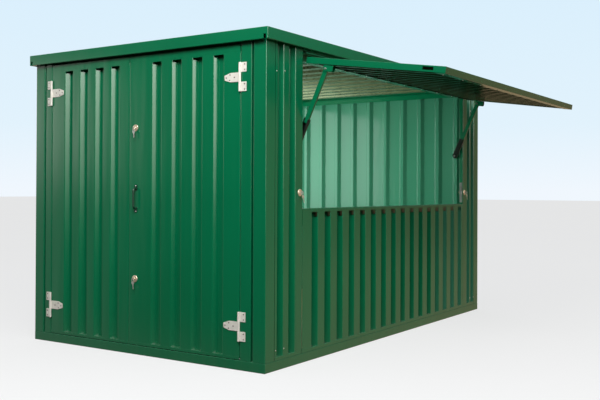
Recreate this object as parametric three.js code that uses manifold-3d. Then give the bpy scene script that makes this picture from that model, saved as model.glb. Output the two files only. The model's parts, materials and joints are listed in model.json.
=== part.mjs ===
// A flat-pack steel kiosk store: double doors in one end and a serving hatch in the right side.
// Millimetres, +Z up. The origin is on the ground under the middle of the floor, -Y is the door
// end and +X is the hatch side. The hatch stands open on its two stays and the doors are shut.
//
// Places along a wall are given as s, measured from the body's front face on the long walls and
// from its left face on the end walls, with d measured out from the wall's outer face.
import * as THREE from 'three';
import { mergeVertices } from 'three/addons/utils/BufferGeometryUtils.js';
import Module from 'manifold-3d';

const wasm = await Module();
wasm.setup();

// ---- Driving dimensions ----

// The whole body
const WIDTH = 2100;
const LENGTH = 3400;
const HEIGHT = 2095;
const OVERHANG = 35;
const FASCIA = 74;
const SIDE = WIDTH / 2;
const END = LENGTH / 2;
const CLEAR = 0.3; // between pieces that lie against each other

// Folded steel
const SHEET = 1.2;
const PLATE = 2.5;
const RIB_DEPTH = 35;
const RIB_RUN = 22; // sideways run of a rib's sloping flank
const LIP = 35;
const FOOT_PROUD = 0.4; // a panel's foot channel stands out from its sheet

// Base and floor
const RAIL_HEIGHT = 62;
const RAIL_DEPTH = 60;
const BAND_TOP = 85; // top of the flat band at the foot of every panel
const BOARD = 18;
const JOIST_WIDTH = 60;
const JOIST_SPACING = 1100;

// Corner posts and wall tops
const POST_FRONT = 95;
const POST_SIDE = 100;
const WALL_TOP = 2040;

// Roof edge: a downstand inside the fascia, a shelf for the roof sheet and an inner lip
const DOWNSTAND = 73;
const SHELF = 110;
const SHELF_TOP = 2045;
const INNER_LIP_FOOT = 1995;
const FASCIA_RETURN = 14;

// Serving hatch opening, in the right side
const NEAR_REVEAL = 406;
const FAR_REVEAL = 3040;
const JAMB = 75;
const SILL_TOP = 992;
const SILL_FACE = 23;
const SILL_DEPTH = 65;

// Hatch, drawn hanging shut about its hinge line
const HINGE_PROUD = 10; // hinge line outside the wall's face
const HINGE_LINE = 1982;
const HATCH_OPEN = 82; // degrees from shut
const HATCH_TOP = 8; // below the hinge line
const HATCH_FOOT = 985;
const HATCH_DEPTH = 40;
const HATCH_GAP = 18;
const KNUCKLE = 7;
const KNUCKLE_BORE = 3.3;

// Doors
const LEFT_HINGE = 178;
const RIGHT_HINGE = 1906;
const MEETING = 958;
const DOOR_FOOT = 66;
const DOOR_SHEET_TOP = 1958;
const DOOR_TOP = 2012;
const BARREL = 8;
const BARREL_OUT = 8.5;
const PIN = 4;
const HINGE_HEIGHTS = { upper: 1808, lower: 270 };

// Locks
const DOOR_LOCK = 1017;
const DOOR_LOCK_HEIGHTS = { upper: 1526, lower: 509 };
const HATCH_LOCK_INSET = 33; // from the reveal
const HATCH_LOCK_HEIGHT = 1095;
const BOLT = { near: 12.5, far: 23.5, half: 15, length: 38 };
const ROSE = 23;
const PLUG = 7;

// Stays
const STAY_FOOT = { x: SIDE - 60, z: 1424 };
const STAY_INSET = 39; // from the reveal
const STAY_PIVOT = { down: 156, in: 75 }; // on the hatch, from its hinge line when shut
const SLEEVE = { wide: 42, thick: 24, wall: 3, length: 165 };
const ARM = { wide: 32, thick: 16, foot: 135 };

// ---- Materials ----

const paint = (color, roughness) =>
  new THREE.MeshStandardMaterial({ color, roughness, metalness: 0.1 });
const metal = (color, roughness) =>
  new THREE.MeshStandardMaterial({ color, roughness, metalness: 0.9 });
const GREEN = paint(0x0b5c3a, 0.35);
const BLACK = paint(0x101412, 0.5);
const PLY = new THREE.MeshStandardMaterial({ color: 0x9a7650, roughness: 0.8 });
const ZINC = metal(0xd8d6cc, 0.4);
const BRASS = metal(0xc9ab7d, 0.35);
const STEEL = metal(0xb9bcbd, 0.3);

// ---- Shape helpers ----

const store = new THREE.Group();

function add(name, geometry, material, parent = store) {
  const mesh = new THREE.Mesh(geometry, material);
  mesh.name = name;
  parent.add(mesh);
  return mesh;
}

function solidOf(geometry) {
  const bare = geometry.clone();
  bare.deleteAttribute('normal');
  bare.deleteAttribute('uv');
  const merged = mergeVertices(bare, 1e-4);
  const vertProperties = merged.attributes.position.array;
  const triVerts = new Uint32Array(merged.index.array);
  return new wasm.Manifold(new wasm.Mesh({ numProp: 3, vertProperties, triVerts }));
}

function geometryOf(solid) {
  const { vertProperties, triVerts } = solid.getMesh();
  const geometry = new THREE.BufferGeometry();
  geometry.setAttribute('position', new THREE.BufferAttribute(vertProperties, 3));
  geometry.setIndex(new THREE.BufferAttribute(triVerts, 1));
  geometry.computeVertexNormals();
  return geometry;
}

const joined = (...pieces) => geometryOf(pieces.map(solidOf).reduce((a, b) => a.add(b)));
const cut = (piece, ...tools) =>
  geometryOf([piece, ...tools].map(solidOf).reduce((a, b) => a.subtract(b)));

function box(xs, ys, zs) {
  const middle = [xs, ys, zs].map(([a, b]) => (a + b) / 2);
  const sizes = [xs, ys, zs].map(([a, b]) => Math.abs(b - a));
  return new THREE.BoxGeometry(...sizes).translate(...middle);
}

// A cylinder along an axis from one end to the other, about a centre in the other two axes.
function rod(axis, radius, [from, to], [u, v], sides = 24) {
  const bar = new THREE.CylinderGeometry(radius, radius, Math.abs(to - from), sides);
  const middle = (from + to) / 2;
  if (axis === 'x') return bar.rotateZ(Math.PI / 2).translate(middle, u, v);
  if (axis === 'y') return bar.translate(u, middle, v);
  return bar.rotateX(Math.PI / 2).translate(u, v, middle);
}

// An outline pushed along an axis. It is drawn in (x, y) for z, in (x, z) for y, in (y, z) for x.
function prism(outline, axis, from, to) {
  const shape = new THREE.Shape(outline.map(([u, v]) => new THREE.Vector2(u, v)));
  const bar = new THREE.ExtrudeGeometry(shape, { depth: to - from, bevelEnabled: false });
  if (axis === 'z') return bar.translate(0, 0, from);
  if (axis === 'y') return bar.rotateX(Math.PI / 2).translate(0, to, 0);
  return bar.rotateX(Math.PI / 2).rotateZ(Math.PI / 2).translate(from, 0, 0);
}

// The outline of a sheet folded along an open line, its thickness on the line's right.
function folded(line, thickness) {
  const points = line.map(([u, v]) => new THREE.Vector2(u, v));
  const rightOf = (a, b) => new THREE.Vector2(b.y - a.y, a.x - b.x).normalize();
  const inner = points.map((point, i) => {
    const before = i > 0 ? rightOf(points[i - 1], point) : rightOf(point, points[1]);
    const after = i < points.length - 1 ? rightOf(point, points[i + 1]) : before;
    const mitre = before.clone().add(after);
    return mitre.multiplyScalar(thickness / (1 + before.dot(after))).add(point);
  });
  return [...points, ...inner.reverse()].map((p) => [p.x, p.y]);
}

// Valleys of one width at an even pitch, and the line of a sheet pressed with them.
const valleys = (first, pitch, width, count) =>
  Array.from({ length: count }, (_, i) => [first + i * pitch, width]);

function pressed(from, to, recesses) {
  const line = [[from, 0]];
  for (const [start, width] of recesses) {
    line.push([start, 0]);
    line.push([start + RIB_RUN, -RIB_DEPTH]);
    line.push([start + width - RIB_RUN, -RIB_DEPTH]);
    line.push([start + width, 0]);
  }
  line.push([to, 0]);
  return line;
}

// Where (s, d) lies on each wall.
const FACES = {
  right: ([s, d]) => [SIDE + d, s - END],
  left: ([s, d]) => [-SIDE - d, s - END],
  rear: ([s, d]) => [s - SIDE, END + d],
  front: ([s, d]) => [s - SIDE, -END - d],
  hatch: ([s, d]) => [d - HINGE_PROUD, s - END],
};

const upright = (face, line, thickness, z0, z1) =>
  prism(folded(line, thickness).map(FACES[face]), 'z', z0, z1);

function faceBox(face, [s0, s1], [d0, d1], zs) {
  const [xa, ya] = FACES[face]([s0, d0]);
  const [xb, yb] = FACES[face]([s1, d1]);
  return box([xa, xb], [ya, yb], zs);
}

// A bar folded along a wall, its line drawn in (d, z).
function along(face, line, thickness, [s0, s1]) {
  const isSide = face !== 'front' && face !== 'rear';
  const middle = isSide ? END : SIDE;
  const placed = folded(line, thickness).map(([d, z]) => [FACES[face]([0, d])[isSide ? 0 : 1], z]);
  return prism(placed, isSide ? 'y' : 'x', s0 - middle, s1 - middle);
}

// A pressed sheet welded on the channel that runs along its foot and closes its valleys.
function panel(face, line, z0, z1) {
  const skin = upright(face, line, SHEET, BAND_TOP - SHEET / 2, z1);
  const channel = [
    [-RIB_DEPTH - 2, z0], [-RIB_DEPTH - 2, BAND_TOP], [FOOT_PROUD, BAND_TOP], [FOOT_PROUD, z0],
  ];
  const ends = [line[0][0] - FOOT_PROUD, line[line.length - 1][0] + FOOT_PROUD];
  return joined(skin, along(face, channel, SHEET, ends));
}

// A folded bar along one edge of the plan, mitred at its ends. The line is in (depth, z).
function edgeBar(line, turn, reach) {
  const isSide = turn % 2 === 0;
  const across = (isSide ? SIDE : END) + reach;
  const along = (isSide ? END : SIDE) + reach;
  const bar = prism(folded(line, PLATE), 'y', -1, 1);
  const place = bar.attributes.position;
  for (let i = 0; i < place.count; i += 1) {
    const depth = place.getX(i);
    place.setX(i, across - depth);
    place.setY(i, -Math.sign(place.getY(i)) * (along - depth - CLEAR));
  }
  return bar.rotateZ((turn * Math.PI) / 2);
}

// ---- Base and floor ----

const EDGES = { right: 0, rear: 1, left: 2, front: 3 };
const baseLine = [[RAIL_DEPTH, 0], [0, 0], [0, RAIL_HEIGHT], [RAIL_DEPTH, RAIL_HEIGHT]];
for (const [name, turn] of Object.entries(EDGES)) {
  add(`base_rail_${name}`, edgeBar(baseLine, turn, 0), GREEN);
}

const inside = SIDE - RAIL_DEPTH - 1;
const joistTop = RAIL_HEIGHT - BOARD - CLEAR;
const half = JOIST_WIDTH / 2;
const joistLine = [[half, 0], [-half, 0], [-half, joistTop], [half, joistTop]];
for (const [name, y] of [['front', -JOIST_SPACING], ['middle', 0], ['rear', JOIST_SPACING]]) {
  const section = folded(joistLine.map(([v, z]) => [v + y, z]), PLATE);
  add(`floor_joist_${name}`, prism(section, 'x', -inside, inside), GREEN);
}
const boardEnd = END - RAIL_DEPTH - 1;
const boardTop = [RAIL_HEIGHT - BOARD, RAIL_HEIGHT];
add('floor_board', box([-inside, inside], [-boardEnd, boardEnd], boardTop), PLY);

// ---- Corner posts ----

const postLine = [[POST_FRONT, LIP], [POST_FRONT, 0], [0, 0], [0, POST_SIDE], [LIP, POST_SIDE]];
function post(sx, sy) {
  const section = folded(postLine, PLATE);
  const placed = section.map(([a, b]) => [sx * (SIDE - a), sy * (END - b)]);
  return prism(placed, 'z', RAIL_HEIGHT + CLEAR, WALL_TOP);
}
add('post_front_left', post(-1, -1), GREEN);
add('post_front_right', post(1, -1), GREEN);
add('post_rear_left', post(-1, 1), GREEN);
add('post_rear_right', post(1, 1), GREEN);

// ---- Walls ----

const foot = RAIL_HEIGHT + CLEAR;
const SEAM = CLEAR + FOOT_PROUD;
const wallFrom = POST_SIDE + SEAM;
const wallTo = LENGTH - POST_SIDE - SEAM;
const leftLine = pressed(wallFrom, wallTo, valleys(142, 160, 76, 20));
add('wall_left', panel('left', leftLine, foot, WALL_TOP), GREEN);

const rearLine = pressed(POST_FRONT + SEAM, WIDTH - POST_FRONT - SEAM, valleys(149, 189, 76, 10));
add('wall_rear', panel('rear', rearLine, foot, WALL_TOP), GREEN);

const nearPier = pressed(wallFrom, NEAR_REVEAL - JAMB - SEAM, [[124, 64], [250, 70]]);
add('wall_right_front', panel('right', nearPier, foot, WALL_TOP), GREEN);

const farPier = pressed(FAR_REVEAL + JAMB + SEAM, wallTo, [[3134, 64], [3226, 64]]);
add('wall_right_rear', panel('right', farPier, foot, WALL_TOP), GREEN);

const hatchValleys = valleys(517, 160.8, 76, 16);
const lowerLine = pressed(NEAR_REVEAL + SEAM, FAR_REVEAL - SEAM, hatchValleys);
const sillFoot = SILL_TOP - SILL_FACE;
add('wall_right_lower', panel('right', lowerLine, foot, sillFoot - CLEAR), GREEN);

// ---- Serving opening: sill, header and the two jambs ----

const spanY = [NEAR_REVEAL + CLEAR - END, FAR_REVEAL - CLEAR - END];
const sillBack = SIDE - SILL_DEPTH;
const sillLine = [
  [sillBack, SILL_TOP - 32], [sillBack, SILL_TOP], [SIDE, SILL_TOP], [SIDE, sillFoot],
];
add('hatch_sill', prism(folded(sillLine, PLATE), 'y', ...spanY), GREEN);

const hingeX = SIDE + HINGE_PROUD;
const hatchHinges = [700, 1723, 2746].map((s) => s - END);
const KNUCKLE_LENGTH = 40;

function hatchHeader() {
  const step = SIDE - 47;
  const line = [
    [SIDE - 105, 1993], [SIDE - 105, 1955], [step, 1955], [step, 1988], [SIDE, 1988],
    [SIDE, WALL_TOP],
  ];
  const channel = prism(folded([...line].reverse(), PLATE), 'y', ...spanY);
  const drip = [[SIDE - 1, 2003], [SIDE + 24, 1998], [SIDE + 24, 1994], [SIDE + 22, 1994],
    [SIDE + 22, 1996], [SIDE - 1, 2001]];
  const pieces = [channel, prism(drip, 'y', ...spanY)];
  for (const y of hatchHinges) {
    const fixed = [y - KNUCKLE_LENGTH, y - CLEAR];
    pieces.push(rod('y', KNUCKLE, fixed, [hingeX, HINGE_LINE]));
    pieces.push(box([SIDE - 1, hingeX], fixed, [HINGE_LINE + 1, HINGE_LINE + 10]));
    pieces.push(rod('y', PIN - 1, [y - 20, y + KNUCKLE_LENGTH], [hingeX, HINGE_LINE], 16));
  }
  return joined(...pieces);
}
add('hatch_header', hatchHeader(), GREEN);

// A jamb is a folded channel that holds a lock case and the pivot of one stay. Going into the
// jamb from the reveal runs against the way in, which is +1 at the near jamb and -1 at the far.
function hatchJamb(reveal, wayIn) {
  const at = (u) => reveal - END - wayIn * u;
  const line = [[SIDE, at(JAMB)], [SIDE, at(0)], [SIDE - LIP, at(0)], [SIDE - LIP, at(30)]];
  const section = folded(wayIn > 0 ? line.reverse() : line, PLATE);
  const channel = prism(section, 'z', foot, WALL_TOP);
  const z = HATCH_LOCK_HEIGHT;
  const lock = at(HATCH_LOCK_INSET);
  const caseBox = box([SIDE - 28, SIDE - 1], [at(1), at(64)], [z - 60, z + 60]);
  const rose = rod('x', ROSE, [SIDE - 1, SIDE + 5], [lock, z], 32);
  const lugZ = [STAY_FOOT.z - 25, STAY_FOOT.z + 25];
  const lug = box([STAY_FOOT.x - 15, SIDE - LIP + 1], [at(2), at(8)], lugZ);
  const pivot = [STAY_FOOT.x, STAY_FOOT.z];
  const outer = STAY_INSET + SLEEVE.thick / 2 + 1;
  const pin = rod('y', 5, [at(4), at(-outer - 3)], pivot);
  const head = rod('y', 9, [at(-outer), at(-outer - 5)], pivot, 6);
  const body = joined(channel, caseBox, rose, lug, pin, head);
  const bore = rod('x', PLUG + 0.4, [SIDE - 10, SIDE + 6], [lock, z]);
  const boltXs = [SIDE - BOLT.far - 0.5, SIDE - BOLT.near + 0.5];
  const slot = box(boltXs, [at(-2), at(32)], [z - BOLT.half - 0.5, z + BOLT.half + 0.5]);
  return cut(body, bore, slot);
}
add('hatch_jamb_near', hatchJamb(NEAR_REVEAL, 1), GREEN);
add('hatch_jamb_far', hatchJamb(FAR_REVEAL, -1), GREEN);

// ---- Roof ----

const roofLine = [
  [SHELF, INNER_LIP_FOOT], [SHELF, SHELF_TOP], [DOWNSTAND, SHELF_TOP], [DOWNSTAND, HEIGHT],
  [0, HEIGHT], [0, HEIGHT - FASCIA], [FASCIA_RETURN, HEIGHT - FASCIA],
];
function roofEdge(name) {
  const bar = edgeBar([...roofLine].reverse(), EDGES[name], OVERHANG);
  if (name !== 'front') return bar;
  const outer = -END - OVERHANG;
  const drains = [-1, 1].map((side) => {
    const xs = [side * (SIDE + OVERHANG - 32), side * (SIDE + OVERHANG - 12)];
    return box(xs, [outer - 5, outer + 10], [HEIGHT - FASCIA - 5, HEIGHT - FASCIA + 32]);
  });
  return cut(bar, ...drains);
}
for (const name of Object.keys(EDGES)) {
  add(`roof_edge_${name}`, roofEdge(name), GREEN);
}

const roofHalf = SIDE + OVERHANG - DOWNSTAND - 1;
const roofEnd = END + OVERHANG - DOWNSTAND - 1;
const ROOF_PITCH = 200;
const roofTop = SHELF_TOP + RIB_DEPTH + SHEET + CLEAR;
const roofRibs = valleys(-roofEnd + 60, ROOF_PITCH, 120, 16);
const roofProfile = pressed(-roofEnd, roofEnd, roofRibs).map(([s, d]) => [s, d + roofTop]);
add('roof_sheet', prism(folded(roofProfile, SHEET), 'x', -roofHalf, roofHalf), GREEN);

// ---- Door frame ----

const STOP = LIP + 3;
const leftJambLine = [
  [80, -LIP - 2], [110, -LIP - 2], [110, 0], [LEFT_HINGE - 2, 0], [LEFT_HINGE - 2, -STOP],
  [LEFT_HINGE + 22, -STOP],
];
const rightJambLine = [
  [RIGHT_HINGE - 22, -STOP], [RIGHT_HINGE + 2, -STOP], [RIGHT_HINGE + 2, 0], [1990, 0],
  [1990, -LIP - 2], [2020, -LIP - 2],
];
add('door_jamb_left', upright('front', leftJambLine, PLATE, foot, WALL_TOP), GREEN);
add('door_jamb_right', upright('front', rightJambLine, PLATE, foot, WALL_TOP), GREEN);

// ---- Door leaves ----

function leafSheet([from, to], recesses) {
  const line = [[from, -LIP], ...pressed(from, to, recesses), [to, -LIP]];
  return panel('front', line, DOOR_FOOT, DOOR_SHEET_TOP);
}
function leafTop([from, to]) {
  const z0 = DOOR_SHEET_TOP + CLEAR;
  const line = [[-END, z0], [-END, DOOR_TOP], [-END + LIP, DOOR_TOP], [-END + LIP, DOOR_TOP - 37]];
  return prism(folded(line, SHEET), 'x', from - SIDE, to - SIDE);
}
// Openings in a leaf's meeting edge, one for each lock's bolt.
function boltSlots(edge) {
  return Object.values(DOOR_LOCK_HEIGHTS).map((z) =>
    faceBox('front', [edge - 4, edge + 4], [-BOLT.far - 2, -BOLT.near + 2],
      [z - BOLT.half - 3, z + BOLT.half + 3]));
}

const leftLeaf = [LEFT_HINGE + 2, MEETING - 2];
const rightLeaf = [MEETING + 2, RIGHT_HINGE - 2];
const leftRibs = valleys(312.5, 155.2, 83, 4);
const rightRibs = valleys(1164, 175, 83, 4);
const keyholes = Object.values(DOOR_LOCK_HEIGHTS).map((z) =>
  rod('y', 14, [-END - 5, -END + 5], [DOOR_LOCK - SIDE, z]));

const leftSheet = cut(leafSheet(leftLeaf, leftRibs), ...boltSlots(leftLeaf[1]));
const rightSheet = leafSheet(rightLeaf, rightRibs);
add('left_leaf_sheet', leftSheet, GREEN);
add('left_leaf_top', leafTop(leftLeaf), GREEN);
add('right_leaf_sheet', cut(rightSheet, ...boltSlots(rightLeaf[0]), ...keyholes), GREEN);
add('right_leaf_top', leafTop(rightLeaf), GREEN);

// ---- T hinges: a plate and pin on the jamb, a strap on the leaf ----

const HINGE_HALF = 90;
const STRAP_KNUCKLE = 30;
const STRAP = { reach: 123, half: 29, tip: 15, thick: 4 };

function hingePlate(axis, way, z) {
  const centre = [axis - SIDE, -END - BARREL_OUT];
  const pieces = [rod('z', PIN, [z - HINGE_HALF, z + HINGE_HALF], centre, 16)];
  for (const end of [-1, 1]) {
    const zs = [z + end * STRAP_KNUCKLE, z + end * HINGE_HALF];
    pieces.push(rod('z', BARREL, zs, centre));
    pieces.push(faceBox('front', [axis - way * 47, axis], [CLEAR, STRAP.thick], zs));
  }
  return joined(...pieces);
}
function hingeStrap(axis, way, z) {
  const centre = [axis - SIDE, -END - BARREL_OUT];
  const zs = [z - STRAP_KNUCKLE + CLEAR, z + STRAP_KNUCKLE - CLEAR];
  const { reach, half: h, tip, thick } = STRAP;
  const outline = [[0, -h], [reach - tip, -h], [reach, -h + tip], [reach, h - tip],
    [reach - tip, h], [0, h]].map(([u, v]) => [axis - SIDE + way * u, z + v]);
  const blade = prism(outline, 'y', -END - thick, -END - CLEAR);
  const bore = rod('z', PIN + 0.4, [zs[0] - 1, zs[1] + 1], centre, 16);
  return cut(joined(rod('z', BARREL, zs, centre), blade), bore);
}
for (const [level, z] of Object.entries(HINGE_HEIGHTS)) {
  add(`hinge_plate_left_${level}`, hingePlate(LEFT_HINGE, 1, z), ZINC);
  add(`hinge_strap_left_${level}`, hingeStrap(LEFT_HINGE, 1, z), ZINC);
  add(`hinge_plate_right_${level}`, hingePlate(RIGHT_HINGE, -1, z), ZINC);
  add(`hinge_strap_right_${level}`, hingeStrap(RIGHT_HINGE, -1, z), ZINC);
}

// ---- Pull handle on the right leaf ----

function pullHandle() {
  const x = 1024 - SIDE;
  const face = -END - CLEAR;
  const [low, high] = [979, 1120];
  const middle = (low + high) / 2;
  const grip = new THREE.CatmullRomCurve3([
    new THREE.Vector3(x, face - 2, low + 8),
    new THREE.Vector3(x, face - 19, low + 12),
    new THREE.Vector3(x, face - 26, low + 30),
    new THREE.Vector3(x, face - 26, middle),
    new THREE.Vector3(x, face - 26, high - 30),
    new THREE.Vector3(x, face - 19, high - 12),
    new THREE.Vector3(x, face - 2, high - 8),
  ]);
  const ring = Array.from({ length: 12 }, (_, i) => {
    const angle = (i / 12) * 2 * Math.PI;
    return new THREE.Vector2(6.5 * Math.cos(angle), 6.5 * Math.sin(angle));
  });
  const settings = { steps: 24, extrudePath: grip, bevelEnabled: false };
  const tube = new THREE.ExtrudeGeometry(new THREE.Shape(ring), settings);
  const pads = [low - 5, high + 5].map((z) => box([x - 13, x + 13], [face - 3, face], [z - 18, z + 18]));
  return joined(tube, ...pads);
}
add('pull_handle', pullHandle(), GREEN);

// ---- Locks, drawn about the keyhole with the way out along -Y and the bolt towards -X ----

function lockCase() {
  const body = joined(
    rod('y', ROSE, [-5.3, -CLEAR], [0, 0], 32),
    rod('y', 13.4, [-2, 3], [0, 0]),
    box([-54, 33], [SHEET + CLEAR, 28], [-60, 60]),
  );
  const bore = rod('y', PLUG + 0.4, [-6, 10], [0, 0]);
  const near = BOLT.near - 0.5;
  const slot = box([-56, -14], [near, BOLT.far + 0.5], [-BOLT.half - 0.5, BOLT.half + 0.5]);
  return cut(body, bore, slot);
}
function lockKey() {
  const bow = joined(
    rod('y', PLUG, [-7.5, 9], [0, 0]),
    box([-1.1, 1.1], [-14, -7], [-4, 4]),
    rod('x', 11.5, [-1.1, 1.1], [-21.5, 0]),
  );
  return cut(bow, rod('x', 3, [-3, 3], [-26, 0], 12));
}
function lockBolt(tip) {
  return box([tip, tip + BOLT.length], [BOLT.near, BOLT.far], [-BOLT.half, BOLT.half]);
}
for (const [level, z] of Object.entries(DOOR_LOCK_HEIGHTS)) {
  const lock = new THREE.Group();
  lock.position.set(DOOR_LOCK - SIDE, -END, z);
  store.add(lock);
  add(`door_lock_case_${level}`, lockCase(), BRASS, lock);
  add(`door_lock_key_${level}`, lockKey(), STEEL, lock);
  add(`door_lock_bolt_${level}`, lockBolt(rightLeaf[0] + 2 - DOOR_LOCK), STEEL, lock);
}
const hatchLocks = [
  ['near', NEAR_REVEAL - HATCH_LOCK_INSET, HATCH_LOCK_INSET + 10 - BOLT.length],
  ['far', FAR_REVEAL + HATCH_LOCK_INSET, -HATCH_LOCK_INSET - 10],
];
for (const [which, s, tip] of hatchLocks) {
  const lock = new THREE.Group();
  lock.position.set(SIDE, s - END, HATCH_LOCK_HEIGHT);
  lock.rotation.z = Math.PI / 2;
  store.add(lock);
  add(`hatch_lock_key_${which}`, lockKey(), STEEL, lock);
  add(`hatch_lock_bolt_${which}`, lockBolt(tip), STEEL, lock);
}

// ---- The hatch, drawn shut about its hinge line and then swung open ----

const hatch = new THREE.Group();
hatch.position.set(hingeX, 0, HINGE_LINE);
hatch.rotation.y = THREE.MathUtils.degToRad(-HATCH_OPEN);
store.add(hatch);

const hatchFrom = NEAR_REVEAL + HATCH_GAP;
const hatchTo = FAR_REVEAL - HATCH_GAP;
const RAIL_FACE = 26;
const RAIL_FLANGE = 70;

// The sheet lies between two side plates that run the hatch's whole height.
function hatchSheet() {
  const z0 = -HATCH_FOOT + RAIL_FACE + CLEAR;
  const z1 = -HATCH_TOP - RAIL_FACE - CLEAR;
  const middleOf = SHEET / 2;
  const line = pressed(hatchFrom + middleOf, hatchTo - middleOf, hatchValleys);
  const ends = [[hatchFrom, hatchFrom + SHEET], [hatchTo - SHEET, hatchTo]];
  const plates = ends.map((s) =>
    faceBox('hatch', s, [-HATCH_DEPTH, FOOT_PROUD], [-HATCH_FOOT, -HATCH_TOP]));
  const slots = [hatchFrom, hatchTo].map((s) =>
    faceBox('hatch', [s - 5, s + 5], [-28, -8], [-905, -835]));
  return cut(joined(upright('hatch', line, SHEET, z0, z1), ...plates), ...slots);
}
add('hatch_sheet', hatchSheet(), GREEN, hatch);

// A rail is a channel that caps one edge of the sheet, with a wide flange on its inner side.
function hatchRail(edge, way) {
  const outer = -HINGE_PROUD;
  const back = outer - HATCH_DEPTH - SHEET - CLEAR;
  const line = [[outer, edge + way * RAIL_FACE], [outer, edge], [back, edge],
    [back, edge + way * RAIL_FLANGE]];
  const ys = [hatchFrom + SHEET + CLEAR - END, hatchTo - SHEET - CLEAR - END];
  return prism(folded(way > 0 ? line : line.reverse(), SHEET), 'y', ...ys);
}
function hingeRail() {
  const pieces = [hatchRail(-HATCH_TOP, -1)];
  for (const y of hatchHinges) {
    const ys = [y, y + KNUCKLE_LENGTH];
    const knuckle = joined(
      rod('y', KNUCKLE, ys, [0, 0]),
      box([-HINGE_PROUD - 0.5, -HINGE_PROUD + 3.5], ys, [-30, 2]),
      box([-HINGE_PROUD, 0], ys, [-6, -2]),
    );
    pieces.push(cut(knuckle, rod('y', KNUCKLE_BORE, [y - 1, y + KNUCKLE_LENGTH + 1], [0, 0], 16)));
  }
  return joined(...pieces);
}
add('hatch_hinge_rail', hingeRail(), GREEN, hatch);
add('hatch_free_rail', hatchRail(-HATCH_FOOT, 1), GREEN, hatch);

// ---- Stays: a sleeve on the jamb, an arm that slides in it, a bracket on the hatch ----

const swing = THREE.MathUtils.degToRad(-HATCH_OPEN);
const pivotX = hingeX - STAY_PIVOT.in * Math.cos(swing) - STAY_PIVOT.down * Math.sin(swing);
const pivotZ = HINGE_LINE + STAY_PIVOT.in * Math.sin(swing) - STAY_PIVOT.down * Math.cos(swing);
const stayLength = Math.hypot(pivotX - STAY_FOOT.x, pivotZ - STAY_FOOT.z);
const stayLean = Math.atan2(pivotX - STAY_FOOT.x, pivotZ - STAY_FOOT.z);

function staySleeve() {
  const { wide, thick, wall, length } = SLEEVE;
  const tube = box([-wide / 2, wide / 2], [-thick / 2, thick / 2], [0, length]);
  const eye = rod('y', wide / 2, [-thick / 2, thick / 2], [0, 0], 32);
  const room = [wide / 2 - wall, thick / 2 - wall];
  const hollow = box([-room[0], room[0]], [-room[1], room[1]], [14, length + 1]);
  const bore = rod('y', 5.4, [-thick, thick], [0, 0]);
  return cut(joined(tube, eye), hollow, bore);
}
function stayArm() {
  const { wide, thick, foot: start } = ARM;
  const tube = box([-wide / 2, wide / 2], [-thick / 2, thick / 2], [start, stayLength]);
  return joined(tube, rod('y', wide / 2, [-thick / 2, thick / 2], [0, stayLength], 32));
}
function stayBracket() {
  const cheek = SLEEVE.thick / 2 + 1;
  const back = -HINGE_PROUD - HATCH_DEPTH - 2;
  const reach = -STAY_PIVOT.in - 18;
  const zs = [-STAY_PIVOT.down - 55, -STAY_PIVOT.down + 15];
  const webTop = -STAY_PIVOT.down - 13; // above it the arm's eye swings between the cheeks
  const web = box([back - 3, back], [-cheek - 3, cheek + 3], [zs[0], webTop]);
  const cheeks = [-1, 1].map((side) =>
    box([reach, back], [side * cheek, side * (cheek + 3)], zs));
  const heads = [-1, 1].map((side) =>
    rod('y', 7, [side * (cheek + 2), side * (cheek + 5)], [-STAY_PIVOT.in, -STAY_PIVOT.down], 6));
  return joined(web, ...cheeks, ...heads);
}
const stays = [['near', NEAR_REVEAL + STAY_INSET], ['far', FAR_REVEAL - STAY_INSET]];
for (const [which, s] of stays) {
  const stay = new THREE.Group();
  stay.position.set(STAY_FOOT.x, s - END, STAY_FOOT.z);
  stay.rotation.y = stayLean;
  store.add(stay);
  add(`stay_sleeve_${which}`, staySleeve(), BLACK, stay);
  add(`stay_arm_${which}`, stayArm(), GREEN, stay);
  add(`stay_bracket_${which}`, stayBracket(), GREEN, hatch).position.y = s - END;
}

export default store;
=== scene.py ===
# %% [markdown]
# # A green steel kiosk store
#
# The store is a small steel room that comes flat and is bolted together: pressed wall sheets
# between folded corner posts, two doors in one end and a serving hatch in one long side. Its looks
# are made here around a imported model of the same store, the frame, which already has every size
# and every joint. Each piece below is built in metres in the frame's own axes, so nothing has to be
# fitted afterwards, and each one rides on the body it would be bolted to.

# %% Load the frame
import json
import math

import bmesh
import bpy
from mathutils import Matrix, Vector


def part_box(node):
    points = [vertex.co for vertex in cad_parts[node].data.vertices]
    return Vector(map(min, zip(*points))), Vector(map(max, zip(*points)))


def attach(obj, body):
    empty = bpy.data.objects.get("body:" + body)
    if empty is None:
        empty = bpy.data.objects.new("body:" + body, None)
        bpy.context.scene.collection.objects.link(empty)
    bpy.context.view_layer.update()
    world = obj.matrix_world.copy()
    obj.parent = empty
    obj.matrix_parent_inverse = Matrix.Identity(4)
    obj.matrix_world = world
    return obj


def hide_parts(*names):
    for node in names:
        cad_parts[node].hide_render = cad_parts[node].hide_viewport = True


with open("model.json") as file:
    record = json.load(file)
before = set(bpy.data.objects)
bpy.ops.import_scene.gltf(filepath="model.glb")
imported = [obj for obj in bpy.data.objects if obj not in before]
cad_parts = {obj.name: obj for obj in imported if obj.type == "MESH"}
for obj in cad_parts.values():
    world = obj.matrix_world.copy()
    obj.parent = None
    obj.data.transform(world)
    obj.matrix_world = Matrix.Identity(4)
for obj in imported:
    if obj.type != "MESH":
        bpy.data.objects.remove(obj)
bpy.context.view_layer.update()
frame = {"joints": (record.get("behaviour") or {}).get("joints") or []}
scene = bpy.context.scene
joints = {joint["name"]: joint for joint in frame["joints"]}

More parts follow.
